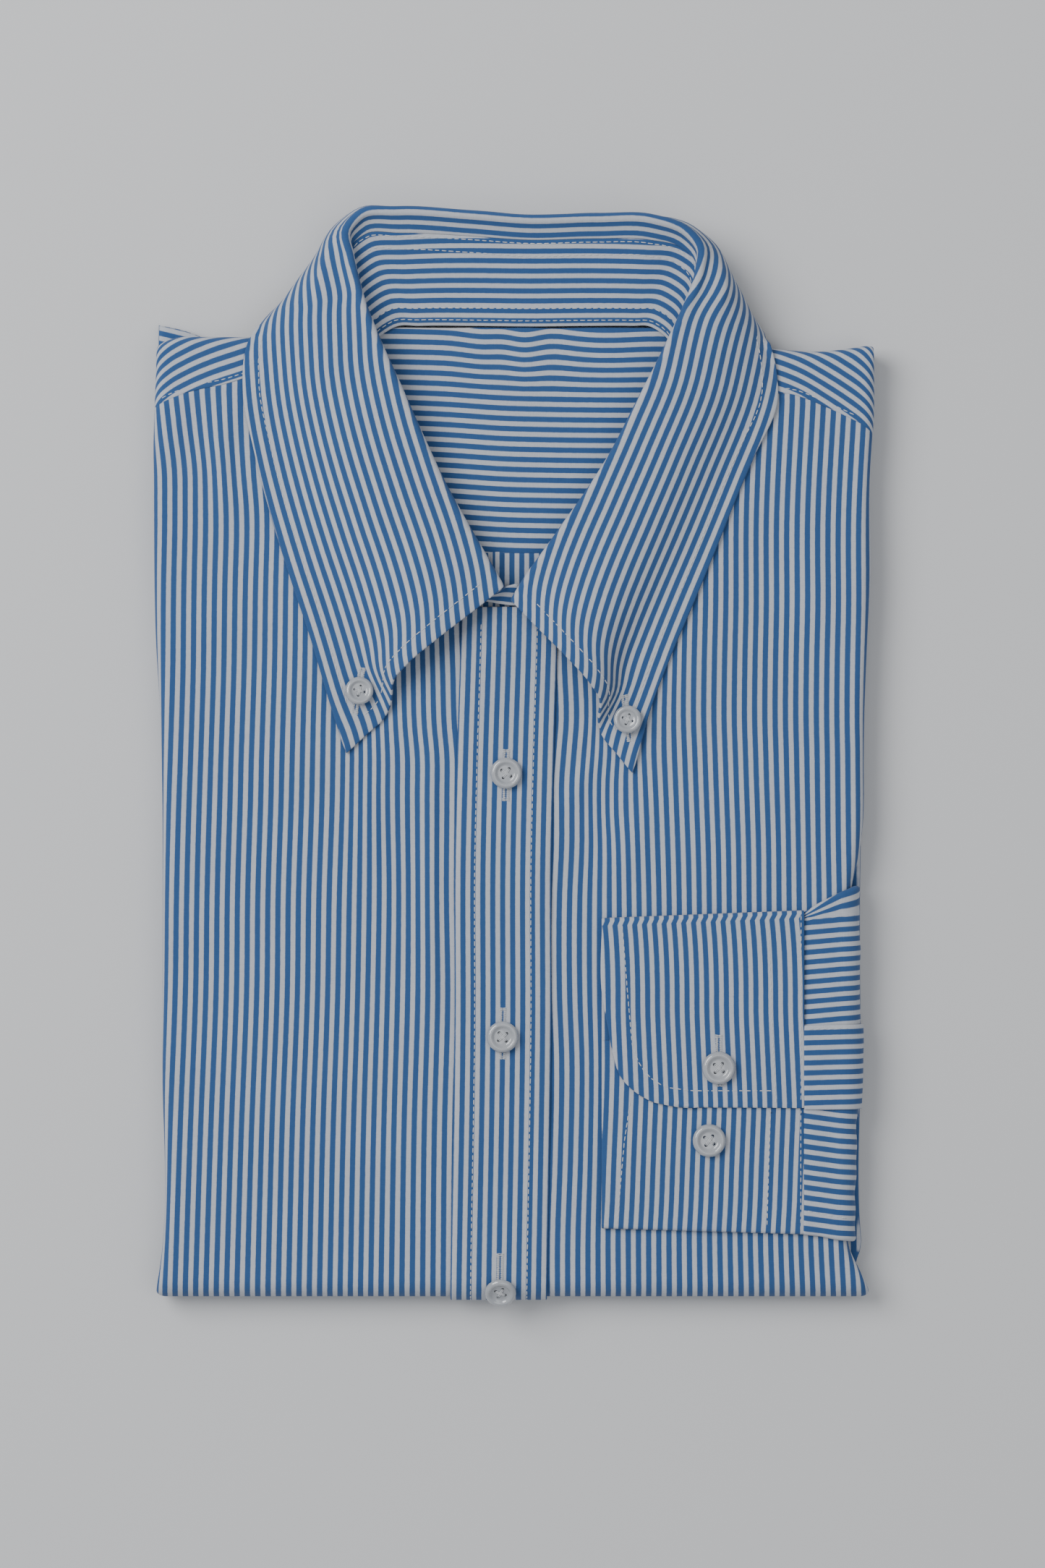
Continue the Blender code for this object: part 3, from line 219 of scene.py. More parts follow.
# Bow of a point's front edge: share of its length, distance
FRONT_EDGE_BOW = ((0.0, 0.0), (0.17, 2.0), (0.36, 4.4), (0.54, 5.9), (0.63, 5.2), (0.7, 0.8),
                  (0.76, -1.0), (0.88, -0.6), (1.0, 0.0))
# Right end of the stand as it laps: upper point x y z, lower point x y z
STAND_LAP = (
    ("end", 1.6, 62.4, 20.2, 0.6, 54.9, 18.9),
    ("lap", -2.8, 61.3, 20.7, -5.6, 55.8, 18.9),
)

# Cuff and sleeve
# Outer edge of the cuff's upper flap: height, across
CUFF_FLAP_EDGE = (
    (-128.0, 62.0), (-126.7, 60.0), (-125.3, 52.5), (-123.4, 48.0), (-120.0, 43.0), (-116.0, 39.4),
    (-109.0, 36.8), (-98.0, 34.6), (-87.0, 32.6), (-55.0, 32.6),
)
CUFF_LEFT = 32.0
CUFF_SEAM = 105.0
CUFF_TOP_FOLD = -58.6
CUFF_BOTTOM_FOLD = -170.2
CUFF_SLANT_TOP = 2.8
CUFF_SLANT_BOTTOM = -2.2
FLAP_END = -126.7
UNDER_FLAP_END = -103.0
SLEEVE_START = CUFF_SEAM + 0.5
SLEEVE_SLANT_TOP = 9.0
SLEEVE_SLANT_BOTTOM = -3.0
SLEEVE_SLIT = (-112.0, -118.0)
SLEEVE_PLACKET = (-97.4, -127.2)
SIDE_EASE = 0.2
SIDE_SPREAD = 0.12
SLEEVE_SKIRT = 3.2
UNDER_LEVEL = GAP + CLOTH / 2
MIDDLE_LEVEL = UNDER_LEVEL + GAP + CLOTH
UPPER_LEVEL = MIDDLE_LEVEL + GAP + CLOTH

# From one blue stripe to the next, and the pieces on which it differs
REPEAT = 3.7
SPACING = {
    "right_yoke": 4.0, "left_yoke": 3.85, "inner_yoke": 3.67, "back": 3.57, "placket": 3.6, "band": 3.62,
    "cuff": 3.56, "upper_sleeve": 3.58, "sleeve_placket": 3.62,
}
# Where the stripes run. In a front's table each row is a height up the shirt, then the places of the
# blue stripes whose numbers stand in the line above it.
RIGHT_NUMBERS = (-32, -27, -22, -17, -12, -9, -6)
RIGHT_STRIPES = (
    (-198.0, -122.7, -104.0, -85.2, -66.5, -48.0, -36.6, -25.4),
    (-132.0, -120.5, -102.0, -83.6, -65.1, -46.8, -35.8, -24.8),
    (-85.0, -118.7, -100.2, -81.8, -63.5, -45.5, -34.5, -23.7),
    (-49.0, -118.2, -99.8, -81.4, -62.9, -44.9, -34.5, -24.2),
    (-14.0, -117.3, -98.8, -80.3, -61.8, -45.5, -34.7, -24.0),
    (0.0, -116.8, -98.5, -80.0, -61.6, -45.5, -34.7, -24.0),
    (12.0, -116.4, -98.1, -79.7, -61.5, -46.0, -35.8, -25.0),
    (30.0, -115.9, -97.5, -79.1, -61.0, -46.6, -36.2, -25.5),
    (60.0, -115.6, -97.0, -78.7, -60.6, -46.0, -36.6, -26.2),
    (90.0, -115.1, -96.6, -78.4, -60.3, -44.0, -35.0, -25.0),
    (104.0, -115.3, -97.8, -79.3, -60.6, -43.0, -34.0, -24.0),
    (118.0, -117.0, -98.6, -79.2, -60.6, -43.0, -34.0, -24.0),
    (132.0, -118.6, -98.9, -79.0, -60.6, -43.0, -34.0, -24.0),
)
LEFT_NUMBERS = (0, 4, 7, 11, 19, 25)
LEFT_STRIPES = (
    (-198.0, 23.5, 38.2, 49.2, 64.1, 94.0, 116.3),
    (-176.0, 23.5, 38.0, 49.1, 63.8, 93.3, 115.1),
    (-145.0, 24.5, 38.2, 49.2, 63.8, 93.1, 115.0),
    (-110.0, 25.0, 38.4, 49.3, 63.9, 93.0, 114.9),
    (-86.0, 24.2, 38.4, 49.3, 63.9, 93.0, 114.8),
    (-51.0, 24.2, 38.4, 49.2, 63.8, 92.7, 114.5),
    (-30.0, 25.0, 37.9, 48.6, 63.3, 92.5, 114.1),
    (-20.0, 25.0, 37.3, 48.3, 62.9, 92.2, 114.0),
    (-9.0, 25.0, 37.3, 47.8, 62.5, 91.8, 113.9),
    (2.0, 25.8, 37.9, 47.3, 62.1, 91.5, 113.8),
    (12.0, 26.6, 37.5, 47.6, 61.7, 91.2, 113.6),
    (33.0, 26.0, 38.2, 48.6, 61.8, 91.3, 113.7),
    (54.0, 25.5, 38.5, 49.3, 62.3, 91.7, 114.1),
    (86.0, 25.5, 38.5, 49.5, 62.6, 91.7, 114.1),
    (128.0, 25.8, 39.2, 50.4, 63.6, 93.6, 116.2),
)
# One blue stripe of each yoke: across the shirt, height
RIGHT_YOKE_STRIPE = (
    (-136.0, 126.5), (-131.0, 133.6), (-125.0, 139.3), (-118.0, 143.4), (-110.0, 146.9), (-100.0, 150.3),
    (-50.0, 165.0),
)
LEFT_YOKE_STRIPE = (
    (50.0, 158.0), (90.0, 148.8), (98.0, 146.3), (105.0, 143.4), (112.0, 139.5), (120.0, 134.5),
    (127.0, 129.3), (131.0, 125.0), (138.0, 117.0),
)
# Tilt of the inner yoke's stripes: across the shirt, fall
INNER_TILT = ((-65.0, -3.2), (-25.0, -1.9), (-2.5, -0.4), (13.0, 0.0), (50.0, 0.3), (66.0, 0.2))
# Drift of the cuff's stripes: height, upper flap, lower flap
CUFF_DRIFT = (
    (-175.0, 1.0, -2.5), (-161.0, 1.0, -1.7), (-150.0, 1.0, -1.3), (-140.0, 1.0, -0.9),
    (-128.0, 1.4, -0.4), (-114.0, 0.9, 0.0), (-103.0, 0.4, 0.0), (-93.0, 0.0, 0.0), (-82.0, -0.1, 0.0),
    (-72.0, -0.4, 0.0), (-64.0, -0.9, 0.0), (-57.0, -1.6, 0.0),
)

# Rows of stitches on the cuff, as points across and up the shirt
CUFF_FLAP_ROW = (
    (39.4, -60.6), (39.7, -64.1), (41.6, -88.0), (42.6, -99.2), (43.1, -104.1), (45.3, -110.2),
    (47.3, -113.4), (49.9, -116.2), (53.6, -118.6), (57.0, -119.7), (65.1, -120.7), (94.2, -120.7),
)
CUFF_INNER_ROW = ((92.2, -58.0), (92.4, -63.0), (94.2, -111.0), (95.0, -125.2))
CUFF_SEAM_ROW = ((104.1, -57.0), (104.1, -90.0), (104.1, -123.8))
LOWER_LEFT_ROW = ((42.4, -124.5), (40.2, -139.5), (37.6, -169.0))
LOWER_INNER_ROW = ((93.1, -128.0), (91.8, -171.0))
LOWER_SEAM_ROW = ((104.1, -127.5), (104.1, -172.0))
SLEEVE_ROW = ((106.2, -164.2), (112.0, -165.4), (121.5, -167.0))
SLEEVE_PLACKET_ROW = ((106.4, -98.5), (121.5, -98.1))
# Buttonholes: x y at each end
BUTTONHOLES = {
    "front_placket": ((-2.5, 2.6, -2.6, -16.4), (-3.7, -90.9, -3.9, -109.7)),
    "left_cuff": ((74.4, -100.6, 74.4, -119.4),),
}
COLLAR_HOLES = ((-54.6, 32.2, -57.6, 15.2), (40.2, 22.3, 42.6, 5.6))

# Seeds that keep each cloth's waves its own
WAVE_SEEDS = {"right": 3, "left": 8, "inner": 5, "placket": 13, "collar": 21, "cuff": 34, "sleeve": 55}

# Camera: its place in plan, its sensor, and the level in metres at which the frame is measured
CAMERA_PLACE = (3.4, -9.8)
SENSOR = 36.0
FRAME_LEVEL = 0.015

# Both faces of each piece of cloth, kept for the sewing
cloth_walls = {}


class ShirtCloth(bpy.types.PropertyGroup):
    """Sizes and colours of the striped cloth."""

    repeat: FloatProperty(name="Stripe Repeat", description="From one blue stripe to the next",
                          default=REPEAT * MM, unit="LENGTH", precision=5)
    blue_share: FloatProperty(name="Blue Share", description="Share of the repeat that is blue",
                              default=0.54, subtype="FACTOR", min=0.0, max=1.0)
    soft_edge: FloatProperty(name="Soft Edge", description="Width over which blue turns to white",
                             default=0.34 * MM, unit="LENGTH", precision=5)
    yarn: FloatProperty(name="Yarn Spacing", description="From one thread of the weave to the next",
                        default=0.34 * MM, unit="LENGTH", precision=5)
    blue: FloatVectorProperty(name="Blue", description="Colour of the blue stripes", subtype="COLOR",
                              size=4, default=(0.024, 0.082, 0.225, 1.0))
    white: FloatVectorProperty(name="White", description="Colour of the white stripes", subtype="COLOR",
                               size=4, default=(0.45, 0.472, 0.52, 1.0))


class ShirtSewing(bpy.types.PropertyGroup):
    """Sizes and colours of thread and buttons."""

    stitch: FloatProperty(name="Stitch", description="Length of one stitch", default=1.9 * MM,
                          unit="LENGTH", precision=5)
    pitch: FloatProperty(name="Pitch", description="From one stitch to the next", default=2.5 * MM,
                         unit="LENGTH", precision=5)
    thread: FloatProperty(name="Thread", description="Thickness of the thread", default=0.36 * MM,
                          unit="LENGTH", precision=5)
    thread_colour: FloatVectorProperty(name="Thread Colour", description="Colour of the thread",
                                       subtype="COLOR", size=4, default=(0.62, 0.64, 0.67, 1.0))
    pearl: FloatVectorProperty(name="Pearl", description="Colour of the buttons", subtype="COLOR",
                               size=4, default=(0.30, 0.315, 0.34, 1.0))


class ShirtStage(bpy.types.PropertyGroup):
    """Floor, camera and light."""

    floor: FloatVectorProperty(name="Floor", description="Colour of the floor", subtype="COLOR",
                               size=4, default=(0.63, 0.635, 0.645, 1.0))
    camera_height: FloatProperty(name="Camera Height", description="Height of the camera over the floor",
                                 default=2.0, unit="LENGTH")
    frame_height: FloatProperty(name="Frame Height", description="Height of what the camera sees",
                                default=0.568, unit="LENGTH")
    key_power: FloatProperty(name="Key Power", description="Power of the large soft light",
                             default=26.0, subtype="POWER", unit="POWER")
    world_strength: FloatProperty(name="Room Light", description="Strength of the even light",
                                  default=0.48, min=0.0)


class Number:
    """Number from a node's output, so that maths on it is written as an expression."""

    def __init__(self, tree, socket):
        self.tree = tree
        self.socket = socket

    def worked(self, operation, *values):
        """Result of a Math node on this number and others."""
        node = self.tree.nodes.new("ShaderNodeMath")
        node.operation = operation
        for slot, value in zip(node.inputs, (self, *values)):
            if isinstance(value, Number):
                self.tree.links.new(value.socket, slot)
            else:
                slot.default_value = value
        return Number(self.tree, node.outputs[0])

    def flipped(self, operation, first):
        """Result of a Math node with the plain number first."""
        node = self.tree.nodes.new("ShaderNodeMath")
        node.operation = operation
        node.inputs[0].default_value = first
        self.tree.links.new(self.socket, node.inputs[1])
        return Number(self.tree, node.outputs[0])

    def __add__(self, other):
        return self.worked("ADD", other)

    __radd__ = __add__

    def __sub__(self, other):
        return self.worked("SUBTRACT", other)

    def __rsub__(self, other):
        return self.flipped("SUBTRACT", other)

    def __mul__(self, other):
        return self.worked("MULTIPLY", other)

    __rmul__ = __mul__

    def __truediv__(self, other):
        return self.worked("DIVIDE", other)


class Finish:
    """Material whose nodes are added by one method."""

    def __init__(self, name):
        self.material = bpy.data.materials.new(name)
        self.material.use_nodes = True
        self.tree = self.material.node_tree
        self.shader = self.tree.nodes["Principled BSDF"]

    def node(self, kind, settings=None, output=0, **inputs):
        """Output of a new node: its settings first, then its sockets by name, with _ for a space."""
        node = self.tree.nodes.new(kind)
        for key, value in (settings or {}).items():
            setattr(node, key, value)
        for key, value in inputs.items():
            self.feed(node, key.replace("_", " "), value)
        return Number(self.tree, node.outputs[output])

    def feed(self, node, name, value):
        """Set or link one socket, by its name or, in a mix of colours, by its identifier."""
        slots = [slot for slot in node.inputs if name in (slot.name, slot.identifier.replace("_", " "))]
        slot = next((each for each in slots if each.enabled), slots[0])
        if isinstance(value, Number):
            self.tree.links.new(value.socket, slot)
        else:
            slot.default_value = value

    def mixed(self, share, first, second):
        """Colour between two colours."""
        return self.node("ShaderNodeMix", {"data_type": "RGBA"}, 2, Factor_Float=share, A_Color=first,
                         B_Color=second)

    def shades(self, **inputs):
        """Set or link sockets of the shader itself."""
        for key, value in inputs.items():
            self.feed(self.shader, key.replace("_", " "), value)


def cloth_finish(name, painted_shade_factor=1.0):
    """Striped cotton: blue and white by the stripe count, with a fine weave."""
    cloth = bpy.context.scene.shirt_cloth
    finish = Finish(name)
    place = finish.node("ShaderNodeUVMap", {"uv_map": "cloth"})
    across = finish.node("ShaderNodeSeparateXYZ", Vector=place)
    along = Number(finish.tree, across.socket.node.outputs[1])
    slubs = finish.node("ShaderNodeTexNoise", Vector=place, Scale=420.0, Detail=2.0, Roughness=0.6)
    wander = (slubs - 0.5) * 0.05
    count = across / cloth.repeat + wander
    away = ((count + 0.5).worked("FRACT") - 0.5).worked("ABSOLUTE")
    half = cloth.blue_share / 2
    soft = cloth.soft_edge / cloth.repeat / 2
    white_share = finish.node("ShaderNodeMapRange", {"interpolation_type": "SMOOTHSTEP"}, Value=away,
                              From_Min=half - soft, From_Max=half + soft)
    warp = (across * (2 * math.pi / cloth.yarn)).worked("SINE")
    weft = (along * (2 * math.pi / cloth.yarn)).worked("SINE")
    weave = warp * weft
    stretched = finish.node("ShaderNodeMapping", Vector=place, Scale=(3400.0, 330.0, 1.0))
    yarns = finish.node("ShaderNodeTexNoise", Vector=stretched, Scale=1.0, Detail=3.0, Roughness=0.65)
    crossed = finish.node("ShaderNodeMapping", Vector=place, Scale=(330.0, 3400.0, 1.0))
    picks = finish.node("ShaderNodeTexNoise", Vector=crossed, Scale=1.0, Detail=3.0, Roughness=0.65)
    cloudy = finish.node("ShaderNodeTexNoise", Vector=place, Scale=26.0, Detail=2.0)
    # The last term of the tone carries painted shade where its factor is below 1, for the cloth inside
    # the neck
    tone = (yarns + picks) * 0.26 + cloudy * 0.08 + weave * 0.02 + (0.70 * painted_shade_factor)
    stripe = finish.mixed(white_share, tuple(cloth.blue), tuple(cloth.white))
    shade = finish.node("ShaderNodeCombineXYZ", X=tone, Y=tone, Z=tone)
    colour = finish.node("ShaderNodeVectorMath", {"operation": "MULTIPLY"}, Vector=stripe)
    finish.tree.links.new(shade.socket, colour.socket.node.inputs[1])
    height = weave * 0.35 + yarns * 0.5 + picks * 0.5
    bump = finish.node("ShaderNodeBump", Height=height, Strength=0.32, Distance=0.09 * MM)
    finish.shades(Base_Color=colour, Normal=bump, Roughness=0.88 - white_share * 0.04)
    finish.shades(Sheen_Weight=0.12, Sheen_Roughness=0.6, Specular_IOR_Level=0.22)
    return finish.material


def thread_finish():
    """Twisted sewing thread."""
    sewing = bpy.context.scene.shirt_sewing
    finish = Finish("Thread")
    place = finish.node("ShaderNodeTexCoord", None, 3)
    fuzz = finish.node("ShaderNodeTexNoise", Vector=place, Scale=2600.0, Detail=2.0)
    dull = tuple(value * 0.72 for value in sewing.thread_colour[:3]) + (1.0,)
    bump = finish.node("ShaderNodeBump", Height=fuzz, Strength=0.3, Distance=0.05 * MM)
    finish.shades(Base_Color=finish.mixed(fuzz, dull, tuple(sewing.thread_colour)), Normal=bump)
    finish.shades(Roughness=0.7, Sheen_Weight=0.1, Specular_IOR_Level=0.3)
    return finish.material


def pearl_finish():
    """Clear, slightly milky button with a pearly shimmer."""
    sewing = bpy.context.scene.shirt_sewing
    finish = Finish("Button Pearl")
    place = finish.node("ShaderNodeTexCoord", None, 3)
    clouds = finish.node("ShaderNodeTexNoise", Vector=place, Scale=240.0, Detail=3.0, Distortion=0.8)
    fine = finish.node("ShaderNodeTexNoise", Vector=place, Scale=900.0, Detail=2.0)
    pale = tuple(min(value * 1.35, 1.0) for value in sewing.pearl[:3]) + (1.0,)
    colour = finish.mixed(clouds, tuple(sewing.pearl), pale)
    finish.shades(Base_Color=colour, Roughness=0.08 + fine * 0.1)
    finish.shades(Coat_Weight=1.0, Coat_Roughness=0.04, Specular_IOR_Level=0.6)
    return finish.material


def floor_finish():
    """Plain pale matt floor."""
    finish = Finish("Pale Floor")
    finish.shades(Base_Color=tuple(bpy.context.scene.shirt_stage.floor), Roughness=0.9)
    finish.shades(Specular_IOR_Level=0.15)
    return finish.material


def shared(name, make):
    """Material of that name, made on its first use."""
    return bpy.data.materials.get(name) or make()


def striped(inside=False):
    """Material of the cloth, a little darker inside the neck."""
    if inside:
        return shared("Inside Cloth", lambda: cloth_finish("Inside Cloth", 0.97))
    return shared("Striped Cloth", lambda: cloth_finish("Striped Cloth"))


def travel(points):
    """Distance travelled along a line at each of its points."""
    return np.concatenate(([0.0], np.cumsum(np.linalg.norm(np.diff(points, axis=0), axis=1))))


def ways_out(outer, inner):
    """Directions from a wall's second face to its first."""
    return (outer - inner) / np.linalg.norm(outer - inner, axis=2, keepdims=True)


def ease(start, end, value):
    """Smooth step from 0 at start to 1 at end."""
    share = np.clip((np.asarray(value, float) - start) / (end - start), 0.0, 1.0)
    return share * share * (3.0 - 2.0 * share)


def through(rows, value, column=1):
    """Smooth curve through a table: its first column is the key, and the column named is read."""
    keys = np.array([row[0] for row in rows], float)
    heights = np.array([row[column] for row in rows], float)
    slopes = np.gradient(heights, keys)
    value = np.clip(np.asarray(value, float), keys[0], keys[-1])
    cell = np.clip(np.searchsorted(keys, value, side="right") - 1, 0, len(keys) - 2)
    step = keys[cell + 1] - keys[cell]
    share = (value - keys[cell]) / step
    return (heights[cell] * (1 + 2 * share) * (1 - share) ** 2
            + slopes[cell] * step * share * (1 - share) ** 2
            + heights[cell + 1] * share ** 2 * (3 - 2 * share)
            + slopes[cell + 1] * step * share ** 2 * (share - 1))


def spread(rows, count):
    """Rows of the collar's table at stations spaced evenly by how far its fold and its edge move."""
    table = np.array(rows, float)
    turn = np.radians(table[:, 3])
    edge = table[:, :2] + np.column_stack((np.cos(turn), np.sin(turn))) * table[:, 9:10]
    edge = np.column_stack((edge, table[:, 10] * DIVE_SHARE))
    reach = np.linalg.norm(np.diff(table[:, :3], axis=0), axis=1)
    reach += EDGE_SHARE * np.linalg.norm(np.diff(edge, axis=0), axis=1)
    keys = np.concatenate(([0.0], np.cumsum(reach)))
    places = np.linspace(0.0, keys[-1], count)
    return np.column_stack([through(np.column_stack((keys, column)), places) for column in table.T])


def bend(start, leave, stops, arrive, count):
    """Points of a smooth curve from start, through stops, with its first and last directions given."""
    knots = np.array([start, *stops], float)
    spans = np.linalg.norm(np.diff(knots, axis=0), axis=1)
    slopes = np.empty_like(knots)
    slopes[0] = leave
    slopes[-1] = arrive
    for index in range(1, len(knots) - 1):
        ahead = (knots[index + 1] - knots[index]) / spans[index]
        behind = (knots[index] - knots[index - 1]) / spans[index - 1]
        weighed = ahead * spans[index - 1] + behind * spans[index]
        slopes[index] = weighed / (spans[index - 1] + spans[index])
    keys = np.concatenate(([0.0], np.cumsum(spans)))
    places = np.linspace(0.0, keys[-1], count)
    cell = np.minimum(np.searchsorted(keys, places, side="right") - 1, len(spans) - 1)
    share = ((places - keys[cell]) / spans[cell])[:, None]
    span = spans[cell][:, None]
    return (knots[cell] * (1 + 2 * share) * (1 - share) ** 2
            + slopes[cell] * span * share * (1 - share) ** 2
            + knots[cell + 1] * share ** 2 * (3 - 2 * share)
            + slopes[cell + 1] * span * share ** 2 * (share - 1))


def side_at(height, side):
    """Place of the body's side edge: side is -1 for the right and 1 for the left."""
    if side < 0:
        return through(SIDES, height, 1)
    return through(SIDES, height, 2) - through(SLEEVE_TUCK, height)


def raised(x, y):
    """How far the upper cloth rises over the yoke and the back inside the neck."""
    return RAISED * ease(RAISED_X[0], RAISED_X[1], np.abs(x)) * ease(RAISED_Y[0], RAISED_Y[1], y)


def front_folds(x, y):
    """Height of the soft folds in the fronts."""
    return folded(x, y, FRONT_FOLDS)


def folded(x, y, rows):
    """Height of the ridges and troughs that a table lists."""
    total = np.zeros(np.broadcast(x, y).shape)
    for from_x, from_y, to_x, to_y, half_width, height in rows:
        length = math.hypot(to_x - from_x, to_y - from_y)
        along_x = (to_x - from_x) / length
        along_y = (to_y - from_y) / length
        along = ((x - from_x) * along_x + (y - from_y) * along_y) / length
        across = (x - from_x) * along_y - (y - from_y) * along_x
        fade = ease(-0.15, 0.3, along) * ease(1.15, 0.7, along)
        total = total + height * fade * np.exp(-(across / half_width) ** 2)
    return total


def front_height(x, y):
    """Top of the fronts and the outer yoke where they lie flat."""
    return FRONT_TOP + raised(x, y) + front_folds(x, y)


def waves(x, y, seed, height, length):
    """Slight uneven waves of soft cloth."""
    pick = np.random.default_rng(seed)
    total = np.zeros(np.broadcast(x, y).shape)
    for _ in range(7):
        bearing = pick.uniform(0.0, math.pi)
        repeat = length * pick.uniform(0.6, 1.8)
        shift = pick.uniform(0.0, 2 * math.pi)
        place = (x * math.cos(bearing) + y * math.sin(bearing)) * 2 * math.pi / repeat
        total = total + np.sin(place + shift + 0.8 * np.sin(y / length + shift))
    return total * height / 3.0


def puckers(away, along, seed, height=0.16, reach=2.4, length=5.2):
    """Short ripples across a row of stitches."""
    ripple = np.sin(along * 2 * math.pi / length + 1.3 * np.sin(along / 7.7 + seed))
    ripple = ripple * (0.6 + 0.4 * np.sin(along / 13.0 + 2 * seed))
    return height * ripple * np.exp(-(away / reach) ** 2)


def counted(rows, numbers, x, y):
    """Stripe count at a place, from where the numbered blue stripes run."""
    lines = [through(rows, y, column + 1) for column in range(len(numbers))]
    count = numbers[0] + (x - lines[0]) / REPEAT
    for index in range(len(numbers) - 1):
        share = (x - lines[index]) / (lines[index + 1] - lines[index])
        part = numbers[index] + share * (numbers[index + 1] - numbers[index])
        count = np.where(x > lines[index], part, count)
    return np.where(x > lines[-1], numbers[-1] + (x - lines[-1]) / REPEAT, count)


def grid_faces(rows, columns, start):
    """Faces of a grid of points as an array of corner numbers."""
    corner = start + np.arange(rows * columns).reshape(rows, columns)
    corners = (corner[:-1, :-1], corner[:-1, 1:], corner[1:, 1:], corner[1:, :-1])
    return np.stack(corners, axis=-1).reshape(-1, 4)


def new_mesh(name, points, faces, places=None):
    """Smooth mesh from points and faces in millimetres, with its faces turned outward."""
    mesh = bpy.data.meshes.new(name)
    mesh.from_pydata((np.asarray(points, float) * MM).tolist(), [], [list(face) for face in faces])
    if places is not None:
        layer = mesh.uv_layers.new(name="cloth")
        corners = np.empty(len(mesh.loops), dtype=np.int32)
        mesh.loops.foreach_get("vertex_index", corners)
        layer.data.foreach_set("uv", places[corners].ravel())
    body = bmesh.new()
    body.from_mesh(mesh)
    bmesh.ops.recalc_face_normals(body, faces=body.faces)
    if body.calc_volume(signed=True) < 0.0:
        bmesh.ops.reverse_faces(body, faces=body.faces)
    body.to_mesh(mesh)
    body.free()
    mesh.shade_smooth()
    return mesh


def new_object(name, mesh, finish):
    """Object that rides on the shirt's one body."""
    mesh.materials.append(finish)
    piece = bpy.data.objects.new(name, mesh)
    bpy.context.scene.collection.objects.link(piece)
    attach(piece, "root")
    return piece


def cloth_piece(name, outer, inner, count, along, inside=False):
    """Closed wall of cloth with a rounded edge, its stripe count as texture, declared as a sheet."""
    rows, columns = outer.shape[:2]
    repeat = bpy.context.scene.shirt_cloth.repeat
    places = np.stack((count * repeat, along * MM), axis=-1).reshape(-1, 2)
    rim = [(0, column) for column in range(columns)]
    rim += [(row, columns - 1) for row in range(1, rows)]
    rim += [(rows - 1, column) for column in range(columns - 2, -1, -1)]
    rim += [(row, 0) for row in range(rows - 2, 0, -1)]
    rim_rows, rim_columns = np.array(rim).T
    near_rows = np.clip(rim_rows, 1, rows - 2)
    near_columns = np.clip(rim_columns, 1, columns - 2)
    edge_top, edge_low = outer[rim_rows, rim_columns], inner[rim_rows, rim_columns]
    outward = edge_top - outer[near_rows, near_columns]
    outward /= np.maximum(np.linalg.norm(outward, axis=1, keepdims=True), 1e-6)
    middle, half = (edge_top + edge_low) / 2, (edge_top - edge_low) / 2
    swell = np.linalg.norm(half, axis=1, keepdims=True) * 0.7
    turned = [middle + half * math.cos(angle) + outward * swell * math.sin(angle)
              for angle in np.radians((35.0, 70.0, 110.0, 145.0))]
    points = np.concatenate([outer.reshape(-1, 3), inner.reshape(-1, 3), *turned])
    size = rows * columns
    rim_number = rim_rows * columns + rim_columns
    chain = [rim_number] + [2 * size + len(rim) * step + np.arange(len(rim)) for step in range(4)]
    chain.append(size + rim_number)
    faces = [grid_faces(rows, columns, 0), grid_faces(rows, columns, size)[:, ::-1]]
    for first, second in zip(chain[:-1], chain[1:]):
        faces.append(np.stack((first, second, np.roll(second, -1), np.roll(first, -1)), axis=-1))
    places = np.concatenate([places, places] + [places[rim_number]] * 4)
    mesh = new_mesh(name, points, np.concatenate(faces), places)
    piece = new_object(name, mesh, striped(inside))
    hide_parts(name.replace("cloth_", ""))
    cloth_walls[name.replace("cloth_", "")] = (outer, inner)


def thick(middle, thickness, spare=(0, 0)):
    """Both faces of a wall of even thickness round a grid of middle points."""
    def directions(axis):
        """Directions along one axis of the grid."""
        steps = np.diff(middle, axis=axis)
        steps /= np.linalg.norm(steps, axis=2, keepdims=True)
        return (np.concatenate((np.take(steps, [0], axis), steps), axis)
                + np.concatenate((steps, np.take(steps, [-1], axis)), axis))

    normals = np.cross(directions(0), directions(1))
    normals /= np.linalg.norm(normals, axis=2, keepdims=True)
    half = normals * thickness / 2
    kept = slice(spare[0], middle.shape[1] - spare[1])
    return (middle + half)[:, kept], (middle - half)[:, kept]


